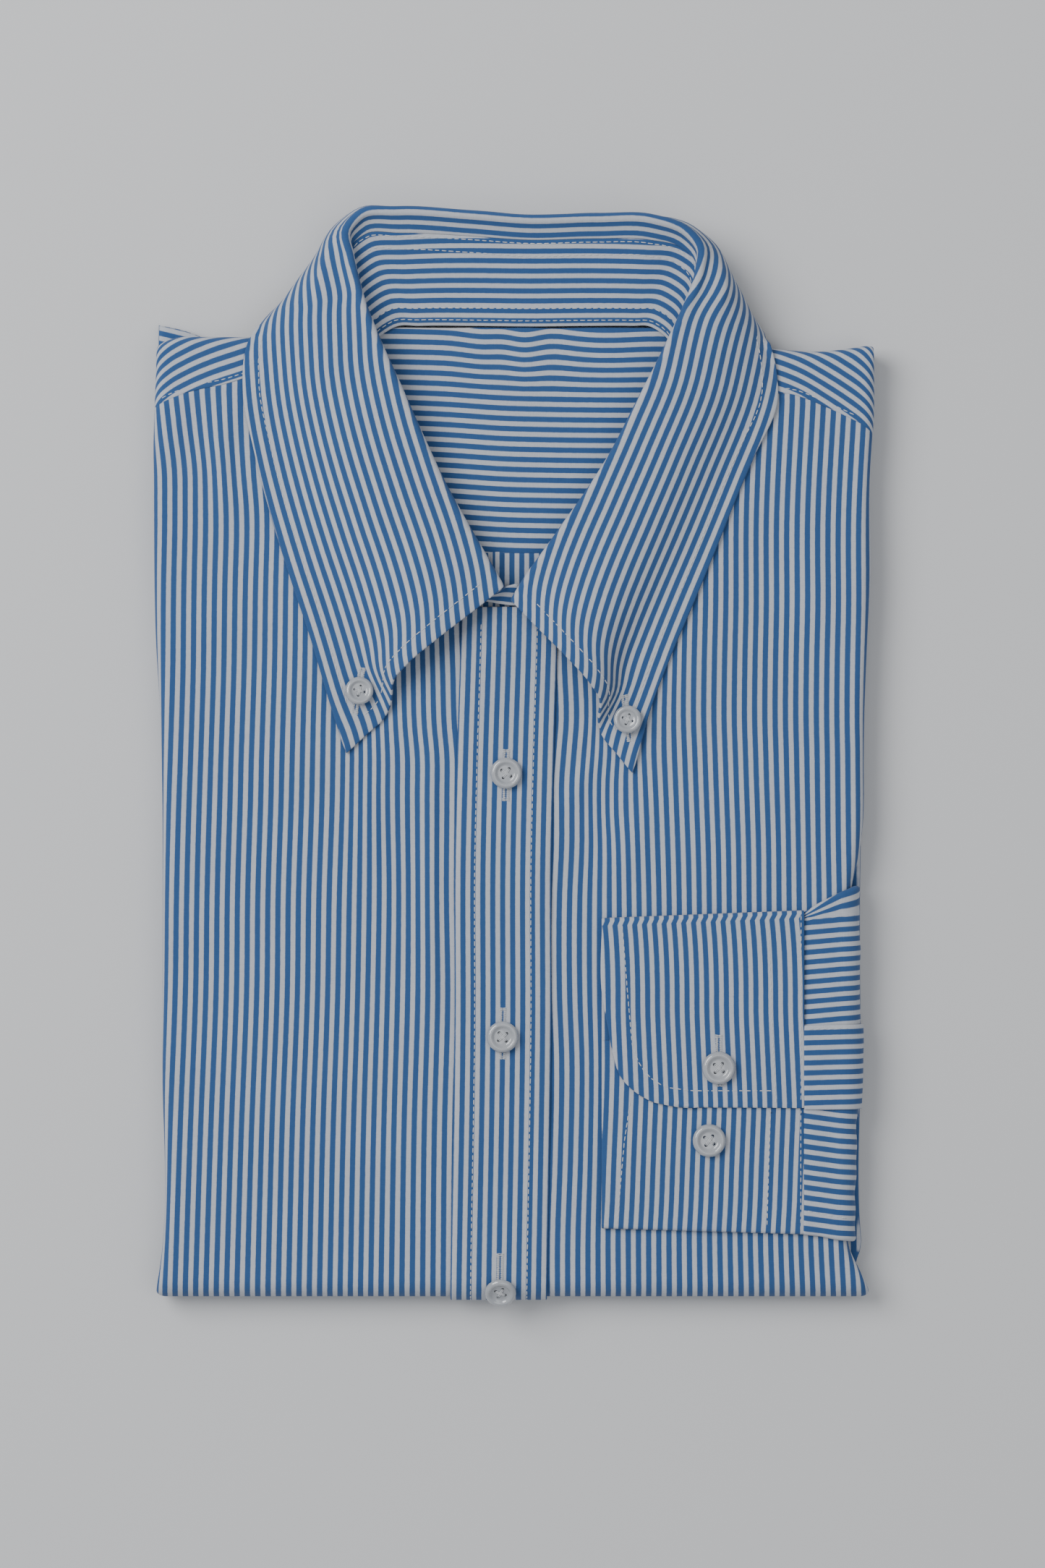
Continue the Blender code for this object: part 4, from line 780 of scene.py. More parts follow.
def turned_panel(side, across, up, fold_share, inner_edge, fold_edge, open_edge, fold_turn, fold_sign,
                 relief):
    """Both faces of a panel turned down at the side and at its fold, and each point's flat place."""
    fold_radius, fold_angle = fold_turn
    skirt = FRONT_TOP - SKIRT_END
    side_angles = np.radians(np.linspace(90.0, 9.0, 10))
    shares_x = np.concatenate((np.zeros(len(side_angles) + 1), across))
    steps = round(fold_angle / 8.0)
    angles = np.radians(np.linspace(fold_angle, fold_angle / steps, steps))
    hangs = np.zeros(len(angles))
    if fold_angle <= 90.0:
        angles = np.concatenate(([math.pi / 2], angles))
        hangs = np.concatenate(([skirt - fold_radius], hangs))
    shares_y = np.concatenate((np.zeros(len(angles)), up))[:, None]
    flat_rows = np.zeros(len(up))
    angles = np.concatenate((angles, flat_rows))[:, None]
    hangs = np.concatenate((hangs, flat_rows))[:, None]

    def grid(inset):
        """One face of the panel, at a depth in the cloth."""
        side_turn = SIDE_TURN - inset
        turns = np.concatenate(([inset], inset + side_turn * (1 - np.sin(side_angles)),
                                np.full(len(across), SIDE_TURN)))
        drops = np.concatenate(([skirt - inset], side_turn * (1 - np.cos(side_angles)),
                                np.zeros(len(across))))
        least = FOLD_REACH * fold_radius
        reach = least + (skirt - least) * ease(0.0, fold_share, shares_y)
        depth = inset + drops * (reach - inset) / (skirt - inset)
        x = side * (120.0 - 100.0 * shares_x) + 0.0 * shares_y
        for _ in range(5):
            centre = fold_edge(x) - fold_sign * fold_radius
            y = centre + fold_sign * np.sin(angles) * (fold_radius - depth)
            y = y + shares_y * (open_edge(x) - centre)
            edge = side_at(y, side) - side * turns
            x = edge + shares_x * (inner_edge(y) - edge)
        z = FRONT_TOP - fold_radius + np.cos(angles) * (fold_radius - depth) - hangs
        flat = ease(0.0, SIDE_TURN * 3, np.abs(side_at(y, side) - x)) * (angles == 0.0)
        soft = flat * ease(0.0, 3.0 * fold_share, shares_y)
        z = z + (raised(x, y) * (angles == 0.0) + front_folds(x, y) * flat)
        z = z + relief(x, y) * soft
        flat_y = centre + fold_sign * (angles * fold_radius + hangs) + shares_y * (open_edge(x) - centre)
        over = np.concatenate(([SIDE_TURN * math.pi / 2 + SIDE_HANG], SIDE_TURN * side_angles,
                               np.zeros(len(across))))
        flat_edge = side_at(y, side) - side * SIDE_TURN
        flat_x = np.where(over > 0.0, flat_edge + side * over, x)
        return np.stack((x, y, z), axis=-1), flat_x, flat_y

    outer, flat_x, flat_y = grid(0.0)
    return outer, grid(CLOTH)[0], flat_x, flat_y


def build_fronts():
    """Right and left front, from the bottom fold to the yoke seam."""
    across = np.linspace(0.0, 1.0, 62)
    up = np.linspace(0.0, 1.0, 190)
    turn = (BOTTOM_TURN, BOTTOM_CURL)

    def bottom_fold(x):
        """Straight fold at the bottom."""
        return BOTTOM_FOLD + 0.0 * x

    def right_inner(y):
        """Inner edge of the right front."""
        return np.where(y < RIGHT_NECK[0][0], through(PLACKET_EDGE, y) + 1.5, through(RIGHT_NECK, y))

    def left_inner(y):
        """Inner edge of the left front."""
        return np.where(y < LEFT_NECK[0][0], through(PLACKET_EDGE, y) + 2.1, through(LEFT_NECK, y))

    def right_relief(x, y):
        """Waves, creases and the gathers below the yoke seam."""
        seam = through(RIGHT_YOKE_SEAM, x) - y
        return (waves(x, y, WAVE_SEEDS["right"], 0.16, 34.0) + folded(x, y, FINE_CREASES)
                + puckers(seam - 1.0, x, 4.0, 0.25, 9.0, 11.0)
                + 0.5 * ease(14.0, 2.0, np.abs(seam - 15.0)) * np.sin(x / 3.4 + 1.0))

    def left_relief(x, y):
        """Waves, creases and puckers of the left front."""
        seam = through(LEFT_YOKE_SEAM, x) - y
        drag = folded(x, y, FINE_CREASES)
        return waves(x, y, WAVE_SEEDS["left"], 0.16, 34.0) + puckers(seam, x, 6.0, 0.16, 7.0, 9.0) + drag

    outer, inner, x, y = turned_panel(-1, across, up, 0.035, right_inner, bottom_fold,
                                      lambda place: through(RIGHT_YOKE_SEAM, place) - GAP / 2, turn, -1,
                                      right_relief)
    cloth_piece("cloth_right_front", outer, inner, counted(RIGHT_STRIPES, RIGHT_NUMBERS, x, y), y)
    outer, inner, x, y = turned_panel(1, across, up, 0.035, left_inner, bottom_fold,
                                      lambda place: through(LEFT_YOKE_SEAM, place) - GAP / 2, turn, -1,
                                      left_relief)
    cloth_piece("cloth_left_front", outer, inner, counted(LEFT_STRIPES, LEFT_NUMBERS, x, y), y)


def build_yokes():
    """Outer yoke where it rolls over each shoulder to the front seam."""
    across = np.linspace(0.0, 1.0, 50)
    up = np.linspace(0.0, 1.0, 18)
    turn = (SIDE_TURN, 90.0)

    def roll_edge(x):
        """Shoulder fold."""
        return through(SHOULDER_FOLD, x)

    def right_relief(x, y):
        """Edge that stands up at the right seam, and waves."""
        away = y - through(RIGHT_YOKE_SEAM, x)
        return 0.35 * ease(4.0, 0.6, away) + waves(x, y, 2, 0.12, 22.0)

    def left_relief(x, y):
        """Edge that stands up at the left seam, and waves."""
        away = y - through(LEFT_YOKE_SEAM, x)
        return 0.3 * ease(4.0, 0.6, away) + waves(x, y, 7, 0.12, 22.0)

    outer, inner, x, y = turned_panel(-1, across, up, 1.0 / 3.0,
                                      lambda place: through(RIGHT_NECK, place) - 6.0, roll_edge,
                                      lambda place: through(RIGHT_YOKE_SEAM, place) + GAP / 2, turn, 1,
                                      right_relief)
    count = (y - through(RIGHT_YOKE_STRIPE, x)) / SPACING["right_yoke"]
    cloth_piece("cloth_outer_yoke_right", outer, inner, count, x)
    outer, inner, x, y = turned_panel(1, across, up, 1.0 / 3.0,
                                      lambda place: through(LEFT_NECK, place) + 6.0, roll_edge,
                                      lambda place: through(LEFT_YOKE_SEAM, place) + GAP / 2, turn, 1,
                                      left_relief)
    spacing = SPACING["left_yoke"] + 0.4 * ease(98.0, 127.0, x)
    cloth_piece("cloth_outer_yoke_left", outer, inner, (y - through(LEFT_YOKE_STRIPE, x)) / spacing, x)


def build_inside():
    """Inner yoke and the pleated back, seen through the neck."""
    top = STACK_TOP + GAP + CLOTH
    edges = ((74.0, -34.0, 33.0), (90.0, -43.0, 43.0), (106.0, -51.0, 52.0), (122.0, -58.0, 60.0),
             (138.0, -60.0, 64.0), (145.0, -55.0, 60.0), (155.2, -50.0, 54.0))
    y = np.linspace(74.0, 155.2, 56)[:, None]
    share = np.linspace(0.0, 1.0, 76)[None, :]
    start, end = np.interp(y, *np.array(edges).T[:2]), np.interp(y, *np.array(edges).T[[0, 2]])
    x = start + share * (end - start)
    y = y + 0.0 * x
    fade = ease(128.0, 150.0, y)
    swing = 0.55 + 0.45 * np.sin(x / 17.0 + 0.8)
    ripple = (np.sin(x / 4.1 + 1.3 * np.sin(x / 11.0)) + 0.7 * np.sin(x / 7.3 + 2.0)) * fade * swing
    z = top + waves(x, y, WAVE_SEEDS["inner"], 0.12, 30.0) + 0.22 * ripple
    outer = np.stack((x, y, z), axis=-1)
    inner = np.stack((x, y, np.full_like(z, top - CLOTH)), axis=-1)
    count = (y + through(INNER_TILT, x) - 111.2 + 0.55 * ripple) / SPACING["inner_yoke"]
    # The inner yoke takes the cloth with painted shade, dimmed a little inside the neck
    cloth_piece("cloth_inner_yoke", outer, inner, count, x,
                True)

    y = np.linspace(45.0, 73.7, 22)[:, None]
    x = np.linspace(-34.0, 33.0, 120)[None, :] + 0.0 * y
    y = y + 0.0 * x
    pleat = 0.8 * ease(57.0, 62.0, y) * ease(-8.6, -7.2, x) * ease(-3.4, -4.2, x)
    outer = np.stack((x, y, top + pleat), axis=-1)
    inner = np.stack((x, y, np.full_like(x, top - CLOTH)), axis=-1)
    count = (x - 0.77 + 1.2 * ease(-7.6, -6.2, x)) / SPACING["back"]
    # The back panel takes the cloth with painted shade, dimmed a little inside the neck
    cloth_piece("cloth_back_panel", outer, inner, count, y, True)


def placket_face(offset, rows, columns):
    """One face of the placket, at a height over the right front."""
    steps = 18
    angles = np.radians(np.linspace(BOTTOM_CURL, BOTTOM_CURL / steps, steps))[:, None]
    fold_y = BOTTOM_FOLD + BOTTOM_TURN
    share = np.linspace(0.0, 1.0, columns)[None, :]
    radius = BOTTOM_TURN + offset
    curl_y = fold_y - radius * np.sin(angles) + 0.0 * share
    curl_x = through(PLACKET_EDGE, curl_y) + share * PLACKET_WIDTH
    curl_z = FRONT_TOP - BOTTOM_TURN + radius * np.cos(angles) + 0.0 * share
    y = np.linspace(fold_y, PLACKET_END, rows)[:, None] + 0.0 * share
    x = through(PLACKET_EDGE, y) + share * PLACKET_WIDTH
    place = share * PLACKET_WIDTH
    soft = (puckers(place - PLACKET_ROW, y, 1.0) + puckers(place - PLACKET_WIDTH + PLACKET_ROW, y, 5.0)
            + waves(x, y, WAVE_SEEDS["placket"], 0.12, 26.0)) * ease(fold_y, fold_y + 20.0, y)
    soft = soft - 0.3 * ease(1.6, 0.0, place) - 0.25 * ease(1.6, 0.0, PLACKET_WIDTH - place)
    z = front_height(x, y) + offset + soft
    flat_y = np.concatenate((fold_y - angles * radius + 0.0 * share, y))
    parts = [np.concatenate(pair) for pair in ((curl_x, x), (curl_y, y), (curl_z, z))]
    return np.stack(parts, axis=-1), flat_y


def build_placket():
    """Buttonhole placket on the right front, turned round the bottom fold with it."""
    outer, flat_y = placket_face(GAP + CLOTH, 176, 34)
    inner, _ = placket_face(GAP, 176, 34)
    place = np.linspace(0.0, 1.0, 34)[None, :] * PLACKET_WIDTH + 0.0 * flat_y
    count = (place - PLACKET_WIDTH / 2) / SPACING["placket"]
    cloth_piece("cloth_front_placket", outer, inner, count, flat_y)


def collar_section(row):
    """Middle lines of the fold's roll, of the fall and of the inner side at one collar station."""
    (fold_x, fold_y, fold_z, bearing, turn, hip_out, hip_z, foot_out, foot_z, edge_out, edge_z,
     seam_x, seam_y, seam_z) = row
    turn = math.radians(turn)
    bearing = math.radians(bearing)
    outward = np.array((math.cos(bearing), math.sin(bearing), 0.0))
    upward = np.array((0.0, 0.0, 1.0))
    fold = np.array((fold_x, fold_y, fold_z))
    tip = upward * math.cos(turn) - outward * math.sin(turn)
    over = outward * math.cos(turn) + upward * math.sin(turn)
    centre = fold - tip * (FOLD_ROLL + STIFF_CLOTH / 2)
    plan = fold * (1.0, 1.0, 0.0)
    hip = plan + outward * hip_out + upward * hip_z
    foot = plan + outward * foot_out + upward * foot_z
    edge = plan + outward * edge_out + upward * edge_z
    roll = [centre + FOLD_ROLL * (tip * math.cos(angle) + over * math.sin(angle))
            for angle in np.radians(np.linspace(-77.0, 77.0, 8))]
    finish = (edge - foot) / np.linalg.norm(edge - foot)
    fall = bend(centre + over * FOLD_ROLL, -tip, (hip, foot, edge), finish, 46)
    seam = np.array((seam_x, seam_y, seam_z))
    start = centre - over * FOLD_ROLL
    reach = np.linalg.norm(seam - start)
    inside = bend(start, -tip * INSIDE_LEAVE, (seam,), (seam - start) / reach, 41)
    return np.array(roll), fall, inside


def split_inside(inside):
    """Leaf's strip inside the fold, and the stand below it."""
    places = np.linspace(0.0, 1.0, len(inside))
    reach = float(np.linalg.norm(np.diff(inside, axis=0), axis=1).sum())
    stand_start = STRIP_SHARE + STAND_GAP / reach

    def at(place):
        """Points at shares of the inner side."""
        return np.array([np.interp(place, places, inside[:, axis]) for axis in range(3)]).T

    strip = at(STRIP_SHARE * np.linspace(1.0, 0.0, 9))
    stand = at(stand_start + (1.0 - stand_start) * np.linspace(1.0, 0.0, 17))
    return strip, stand


def shape_front_edge(grid, end):
    """Bow a point's front edge in plan, fading into the leaf behind it."""
    row = grid[end]
    start, tip = row[0, :2].copy(), row[-1, :2].copy()
    length = math.hypot(*(tip - start))
    along = (tip - start) / length
    side = np.array((along[1], -along[0]))
    behind = grid[FINER if end == 0 else -1 - FINER][-1][:2] - tip
    if np.dot(side, behind) < 0:
        side = -side
    offset = grid[:, :, :2] - start
    share = offset @ along / length
    away = np.abs(offset @ side)
    bow = through(FRONT_EDGE_BOW, share) * np.exp(-(away / CURL_LEAD) ** 2)
    bow = bow * ((share > 0.0) & (share < 1.0) & (away < 3 * CURL_LEAD))
    grid[:, :, :2] += side * bow[:, :, None]


def build_collar():
    """Collar leaf over its stand."""
    count = (COLLAR_STATIONS - 1) * FINER + 1
    stations = spread(COLLAR, count)
    rolls, falls, strips, stands = [], [], [], []
    for row in stations:
        roll, fall, inside = collar_section(row)
        strip, stand = split_inside(inside)
        rolls.append(roll)
        falls.append(fall)
        strips.append(np.concatenate((stand[-1:], strip)))
        stands.append(np.concatenate((stand, strip[:1])))
    falls = np.array(falls)
    half = len(falls) // 2
    shape_front_edge(falls[:half], 0)
    shape_front_edge(falls[half:], -1)
    past = falls[:, :, 1] - through(SHOULDER_FOLD, falls[:, :, 0]) + SIDE_TURN
    rest = front_height(falls[:, :, 0], falls[:, :, 1]) + GAP + STIFF_CLOTH / 2 + 0.1
    round_fold = FRONT_TOP - SIDE_TURN + np.sqrt(np.maximum(SHOULDER_ROOM ** 2 - past ** 2, 0.0))
    rest = np.where(past < 0.0, rest, np.where(past < SHOULDER_ROOM, np.minimum(round_fold, rest), 0.0))
    heights = falls[:, :, 2]
    for _ in range(2 * FINER * FINER):
        low = heights[:, EVENED_FROM:]
        heights[1:-1, EVENED_FROM:] = (low[:-2] + 2.0 * low[1:-1] + low[2:]) / 4.0
    falls[:, :, 2] = np.maximum(heights, rest)
    middle = np.concatenate((np.array(strips), np.array(rolls), falls), axis=1)

    steps = np.linalg.norm(np.diff(middle, axis=1), axis=2)
    inside_columns = len(strips[0]) + len(rolls[0]) // 2
    travelled = np.concatenate((np.zeros((count, 1)), np.cumsum(steps, axis=1)), axis=1)
    from_fold = travelled - travelled[:, inside_columns:inside_columns + 1]
    normal = np.where(np.arange(count) < half, *WING_BEARINGS)
    on_wing = ease(175.0, 150.0, stations[:, 1])
    lean = np.cos(np.radians((stations[:, 3] - normal) * on_wing))
    width = from_fold[:, -1] * lean
    fold_count = eased_along(width * on_wing + LEAF_BACK * (1.0 - on_wing))
    lean = eased_along(lean)
    place = fold_count[:, None] - from_fold * lean[:, None]
    along = travel(falls[:, 12])[:, None] + 0.0 * place
    outer, inner = thick(middle, STIFF_CLOTH, (1, 0))
    kept_place, kept_along = place[:, 1:], along[:, 1:]
    edge_puckers = puckers(kept_place - LEAF_ROW, kept_along, 9.0, 0.14, 2.2, 4.6)
    normal_way = ways_out(outer, inner)
    soft = edge_puckers + waves(kept_along, kept_place, WAVE_SEEDS["collar"], 0.07, 20.0)
    soft[:, :inside_columns] = 0.0
    outer = outer + normal_way * soft[:, :, None] * falling_outward(outer, inner)
    cloth_piece("cloth_collar_leaf", outer, inner, (kept_place - LEAF_PHASE) / REPEAT, kept_along)

    heights = np.concatenate((np.linspace(0.0, 1.0, 17), [1.05]))[:, None]
    ends = [np.array(row[4:]) + (np.array(row[1:4]) - np.array(row[4:])) * heights for row in STAND_LAP]
    stands = np.array(stands)
    blend = [ends[0] + (ends[1] - ends[0]) * share for share in np.linspace(0.0, 1.0, 5)]
    blend += [ends[1] + (stands[0] - ends[1]) * share for share in np.linspace(0.2, 0.8, 4)]
    stand = np.concatenate((np.array(blend), stands))
    rise = np.concatenate((np.zeros((len(stand), 1)),
                           np.cumsum(np.linalg.norm(np.diff(stand, axis=1), axis=2), axis=1)), axis=1)
    along = travel(stand[:, 8])[:, None] + 0.0 * rise
    outer, inner = thick(stand, CLOTH, (0, 1))
    count = (rise - 1.8) / SPACING["band"]
    cloth_piece("cloth_collar_band", outer, inner, count[:, :-1], along[:, :-1])


def eased_along(values):
    """Values along the collar with their sudden changes evened out."""
    for _ in range(60):
        between = (values[:-2] + 2.0 * values[1:-1] + values[2:]) / 4.0
        values = np.concatenate((values[:1], between, values[-1:]))
    return values


def falling_outward(outer, inner):
    """1 where the wall's first face is the upper one, and -1 where it is the lower one."""
    level = (outer - inner)[:, -8:, 2].mean()
    return 1.0 if level > 0.0 else -1.0


def cuff_path():
    """Wrap of the cuff seen from its seam: height up the shirt, level, and which part it is."""
    roll = (UPPER_LEVEL - UNDER_LEVEL) / 2
    start = CUFF_BOTTOM_FOLD + 0.9
    path = [(y, MIDDLE_LEVEL, "lower") for y in np.linspace(UNDER_FLAP_END, start, 46)]
    middle = (MIDDLE_LEVEL + UNDER_LEVEL) / 2
    half = (MIDDLE_LEVEL - UNDER_LEVEL) / 2
    path += [(start - half * math.sin(angle) * 1.3, middle + half * math.cos(angle), "lower")
             for angle in np.radians((30.0, 60.0, 90.0, 120.0, 150.0))]
    fold = CUFF_TOP_FOLD - 1.6
    path += [(y, UNDER_LEVEL, "under") for y in np.linspace(start, fold, 20)]
    path += [(fold + roll * 1.1 * math.sin(angle), UNDER_LEVEL + roll * (1 - math.cos(angle)), "under")
             for angle in np.radians((25.0, 50.0, 70.0, 90.0, 110.0, 130.0, 155.0))]
    path += [(y, UPPER_LEVEL, "upper") for y in np.linspace(-61.2, -118.0, 40)]
    path += [(y, UPPER_LEVEL, "upper") for y in np.linspace(-119.2, FLAP_END, 10)]
    return path


def build_cuff():
    """Left cuff: one strip wrapped to a flat barrel, its upper flap lapping over the under flap."""
    path = cuff_path()
    columns = np.linspace(0.0, 1.0, 48)
    grid = np.empty((len(path), len(columns), 3))
    count = np.empty((len(path), len(columns)))
    for row, (y, level, part) in enumerate(path):
        left = float(through(CUFF_FLAP_EDGE, y)) if part == "upper" else CUFF_LEFT + 0.4
        x = left + columns * (CUFF_SEAM - left)
        slant = CUFF_SLANT_BOTTOM + (CUFF_SLANT_TOP - CUFF_SLANT_BOTTOM) * float(ease(-175.0, -55.0, y))
        if part == "upper" and FLAP_END - 2.0 <= y <= UNDER_FLAP_END:
            slant *= float(ease(-127.0, -110.0, y))
        place = y + slant * (x - CUFF_LEFT) / (CUFF_SEAM - CUFF_LEFT)
        soft = waves(x, place, WAVE_SEEDS["cuff"], 0.1, 24.0) * (part != "under")
        if part == "upper":
            soft = soft + 0.35 * np.exp(-((x - left - 6.0) / 3.0) ** 2) * ease(-70.0, -90.0, y)
        grid[row] = np.column_stack((x, place, FRONT_TOP + level + soft))
        drift = through(CUFF_DRIFT, place, 1 if part == "upper" else 2)
        start = 66.5 if part == "upper" else 66.1
        count[row] = np.maximum((x - start - drift) / SPACING["cuff"], -9.5)
    along = grid[:, :, 1].copy()
    outer, inner = thick(grid, CLOTH)
    cloth_piece("cloth_left_cuff", outer, inner, count, along)


def side_wrap(x, y, level):
    """Points on cloth at a level above the left front, carried round the side where x passes it."""
    edge = side_at(y, 1) - SIDE_TURN
    share = np.clip((x - edge) / SIDE_TURN, 0.0, 1.0)
    radius = SIDE_TURN + level + (SIDE_EASE + SIDE_SPREAD * level) * share
    arc = radius * math.pi / 2
    past = np.maximum((x - edge) * arc / (SIDE_TURN * math.pi / 2), 0.0)
    centre_z = FRONT_TOP - SIDE_TURN
    angle = np.minimum(past, arc) / radius
    hang = np.clip(past - arc, 0.0, SLEEVE_SKIRT)
    height = centre_z + radius * np.cos(angle) - hang
    wrapped = np.stack((edge + radius * np.sin(angle), y, height), axis=-1)
    flat = np.stack((x, y, front_height(x, y) + level), axis=-1)
    return np.where((x <= edge)[..., None], flat, wrapped)


def sleeve_places():
    """Places across the sleeve from the cuff seam round the side."""
    side = float(side_at(-100.0, 1))
    flat = np.linspace(SLEEVE_START, side - 4.0, 18)
    turned = np.linspace(side - 3.4, side + 2.28, 10)
    return np.concatenate((flat, turned, [side + 4.6])), side


def carried(y, level, places, side):
    """One line of sleeve cloth across to the side, leaning as the sleeve does."""
    share = (places - SLEEVE_START) / (side - SLEEVE_START)
    top, bottom = CUFF_TOP_FOLD + 2.4, CUFF_BOTTOM_FOLD - 2.0
    lean = SLEEVE_SLANT_BOTTOM + (SLEEVE_SLANT_TOP - SLEEVE_SLANT_BOTTOM) * ease(bottom, top, y)
    keep = 1.0 - ease(-80.0, -100.0, y) * ease(-150.0, -130.0, y)
    return side_wrap(places, y + lean * keep * np.minimum(share, 1.0), level + 0.0 * places)


def build_sleeve():
    """Left sleeve from the cuff round the side fold, and the placket that covers its slit."""
    top, bottom = CUFF_TOP_FOLD + 2.4, CUFF_BOTTOM_FOLD - 2.0
    middle = (MIDDLE_LEVEL + UNDER_LEVEL) / 2
    half = (MIDDLE_LEVEL - UNDER_LEVEL) / 2
    lower = np.linspace(SLEEVE_SLIT[1], bottom + 0.9, 36)
    upper = np.linspace(top - 0.9, SLEEVE_SLIT[0], 36)
    turn = np.radians((30.0, 60.0, 90.0, 120.0, 150.0))
    path = [(y, MIDDLE_LEVEL, "lower") for y in lower]
    path += [(bottom + 0.9 - half * math.sin(angle) * 1.3, middle + half * math.cos(angle), "lower")
             for angle in turn]
    path += [(y, UNDER_LEVEL, "under") for y in (*lower[::-2], *upper[::-2])]
    path += [(top - 0.9 + half * math.sin(angle) * 1.3, middle - half * math.cos(angle), "upper")
             for angle in turn]
    path += [(y, MIDDLE_LEVEL, "upper") for y in upper]
    places, side = sleeve_places()
    grid = np.array([carried(y, level, places, side) for y, level, part in path])
    x, y = grid[:, :, 0], grid[:, :, 1]
    flat_x = places[None, :] + 0.0 * x
    high = -81.4 + 0.09 * (flat_x - 107.0)
    triangle = ease(-1.5, 1.5, y - (-58.6 + 0.16 * (flat_x - 105.5)))
    fan = -0.5 + 4.6 * (y + 59.6) / np.maximum(flat_x - 101.5, 2.0)
    high_count = (y - high) / SPACING["upper_sleeve"] * (1.0 - triangle) + (6.0 + fan) * triangle
    low_count = (y + 137.4 + 0.14 * (flat_x - 107.0)) / REPEAT
    is_lower = np.array([part == "lower" for _, _, part in path])[:, None]
    shows = np.array([part != "under" for _, _, part in path])[:, None]
    count = np.where(is_lower, low_count, high_count)
    outer, inner = thick(grid, CLOTH)
    way = ways_out(outer, inner)
    pinches = 0.12 * np.sin(y / 1.9) * ease(112.0, 122.0, flat_x)
    soft = waves(flat_x, y, WAVE_SEEDS["sleeve"], 0.2, 11.0) + pinches
    outer = outer + way * (soft * shows)[:, :, None]
    cloth_piece("cloth_left_sleeve", outer, inner, count, flat_x)

    rows = np.linspace(SLEEVE_PLACKET[0], SLEEVE_PLACKET[1], 26)
    grid = np.array([carried(y, UPPER_LEVEL, places, side) for y in rows])
    flat_x = places[None, :] + 0.0 * grid[:, :, 0]
    outer, inner = thick(grid, CLOTH)
    way = ways_out(outer, inner)
    soft = waves(flat_x, grid[:, :, 1], 77, 0.12, 12.0)
    outer = outer + way * soft[:, :, None]
    count = (grid[:, :, 1] + 99.6 - 0.03 * (flat_x - 112.0)) / SPACING["sleeve_placket"]
    cloth_piece("cloth_sleeve_placket", outer, inner, count, flat_x)


def layer_ring(side_inset, bottom_inset, top_inset, lower):
    """Points round the folded layers at one level."""
    ends = np.array((0.0, 0.01, 0.02, 0.035, 0.05, 0.07, 0.1, 0.14, 0.18, 0.24, 0.3, 0.4))
    across = np.concatenate((ends, 1.0 - ends[::-1]))
    heights = np.concatenate((np.linspace(-180.0, -30.0, 40), np.linspace(-22.0, 120.0, 20),
                              np.linspace(124.0, 143.0, 8)))

    def left(y):
        """Left edge of the ring."""
        if not lower:
            return side_at(y, 1) - side_inset
        corner = (LOWER_CORNER_INSET + through(SLEEVE_TUCK, y)) * ease(-178.0, -186.0, y)
        return through(SIDES, y, 2) - side_inset - corner

    def right(y):
        """Right edge of the ring."""
        corner = LOWER_CORNER_INSET * ease(-178.0, -188.0, y) if lower else 0.0
        return side_at(y, -1) + side_inset + corner

    top_table = LOWER_TOP if lower else SHOULDER_FOLD
    bottom = BOTTOM_FOLD + bottom_inset
    heights = np.concatenate(([bottom + 2.0, bottom + 7.0], heights))
    low_x = right(bottom) + across * (left(bottom) - right(bottom))
    high_x = left(147.0) + across * (right(147.0) - left(147.0))
    x = np.concatenate((low_x, left(heights), high_x, right(heights[::-1])))
    y = np.concatenate((np.full(len(across), bottom), heights, through(top_table, high_x) - top_inset,
                        heights[::-1]))
    return np.column_stack((x, y))


def build_layers():
    """Hidden layers of the folded shirt as one stack, layered and striped at its edges."""
    rings, levels = [], []
    for index, row in enumerate(LAYERS):
        ring = layer_ring(row[1], row[2], row[3], row[4] == "lower")
        if index:
            for share in (0.33, 0.67):
                rings.append(rings_before + (ring - rings_before) * share)
                levels.append(level_before + (row[0] - level_before) * share)
        rings.append(ring)
        levels.append(row[0])
        rings_before, level_before = ring, row[0]
    size = len(rings[0])
    points = np.concatenate([np.column_stack((ring, np.full(size, level)))
                             for ring, level in zip(rings, levels)])
    faces = []
    for level in range(len(rings) - 1):
        first = level * size + np.arange(size)
        after = np.roll(first, -1)
        faces.append(np.stack((first, after, after + size, first + size), axis=-1))
    faces = [tuple(face) for face in np.concatenate(faces)]
    faces.append(tuple(range(size))[::-1])
    faces.append(tuple((len(rings) - 1) * size + index for index in range(size)))
    mesh = new_mesh("cloth_folded_layers", points, faces)
    layer = mesh.uv_layers.new(name="cloth")
    repeat = bpy.context.scene.shirt_cloth.repeat / REPEAT
    for face in mesh.polygons:
        way = face.normal
        for loop in face.loop_indices:
            spot = mesh.vertices[mesh.loops[loop].vertex_index].co / MM
            if abs(way.z) > 0.7 and spot.y > 140.0:
                place = (spot.y + 0.25 * spot.x, spot.x)
            elif abs(way.x) > abs(way.y):
                place = (spot.z * 1.4 + abs(spot.x), spot.y)
            else:
                place = (spot.x, spot.z + spot.y)
            layer.data[loop].uv = (place[0] * repeat, place[1] * MM)
    piece = new_object("cloth_folded_layers", mesh, striped())
    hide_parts("folded_layers")


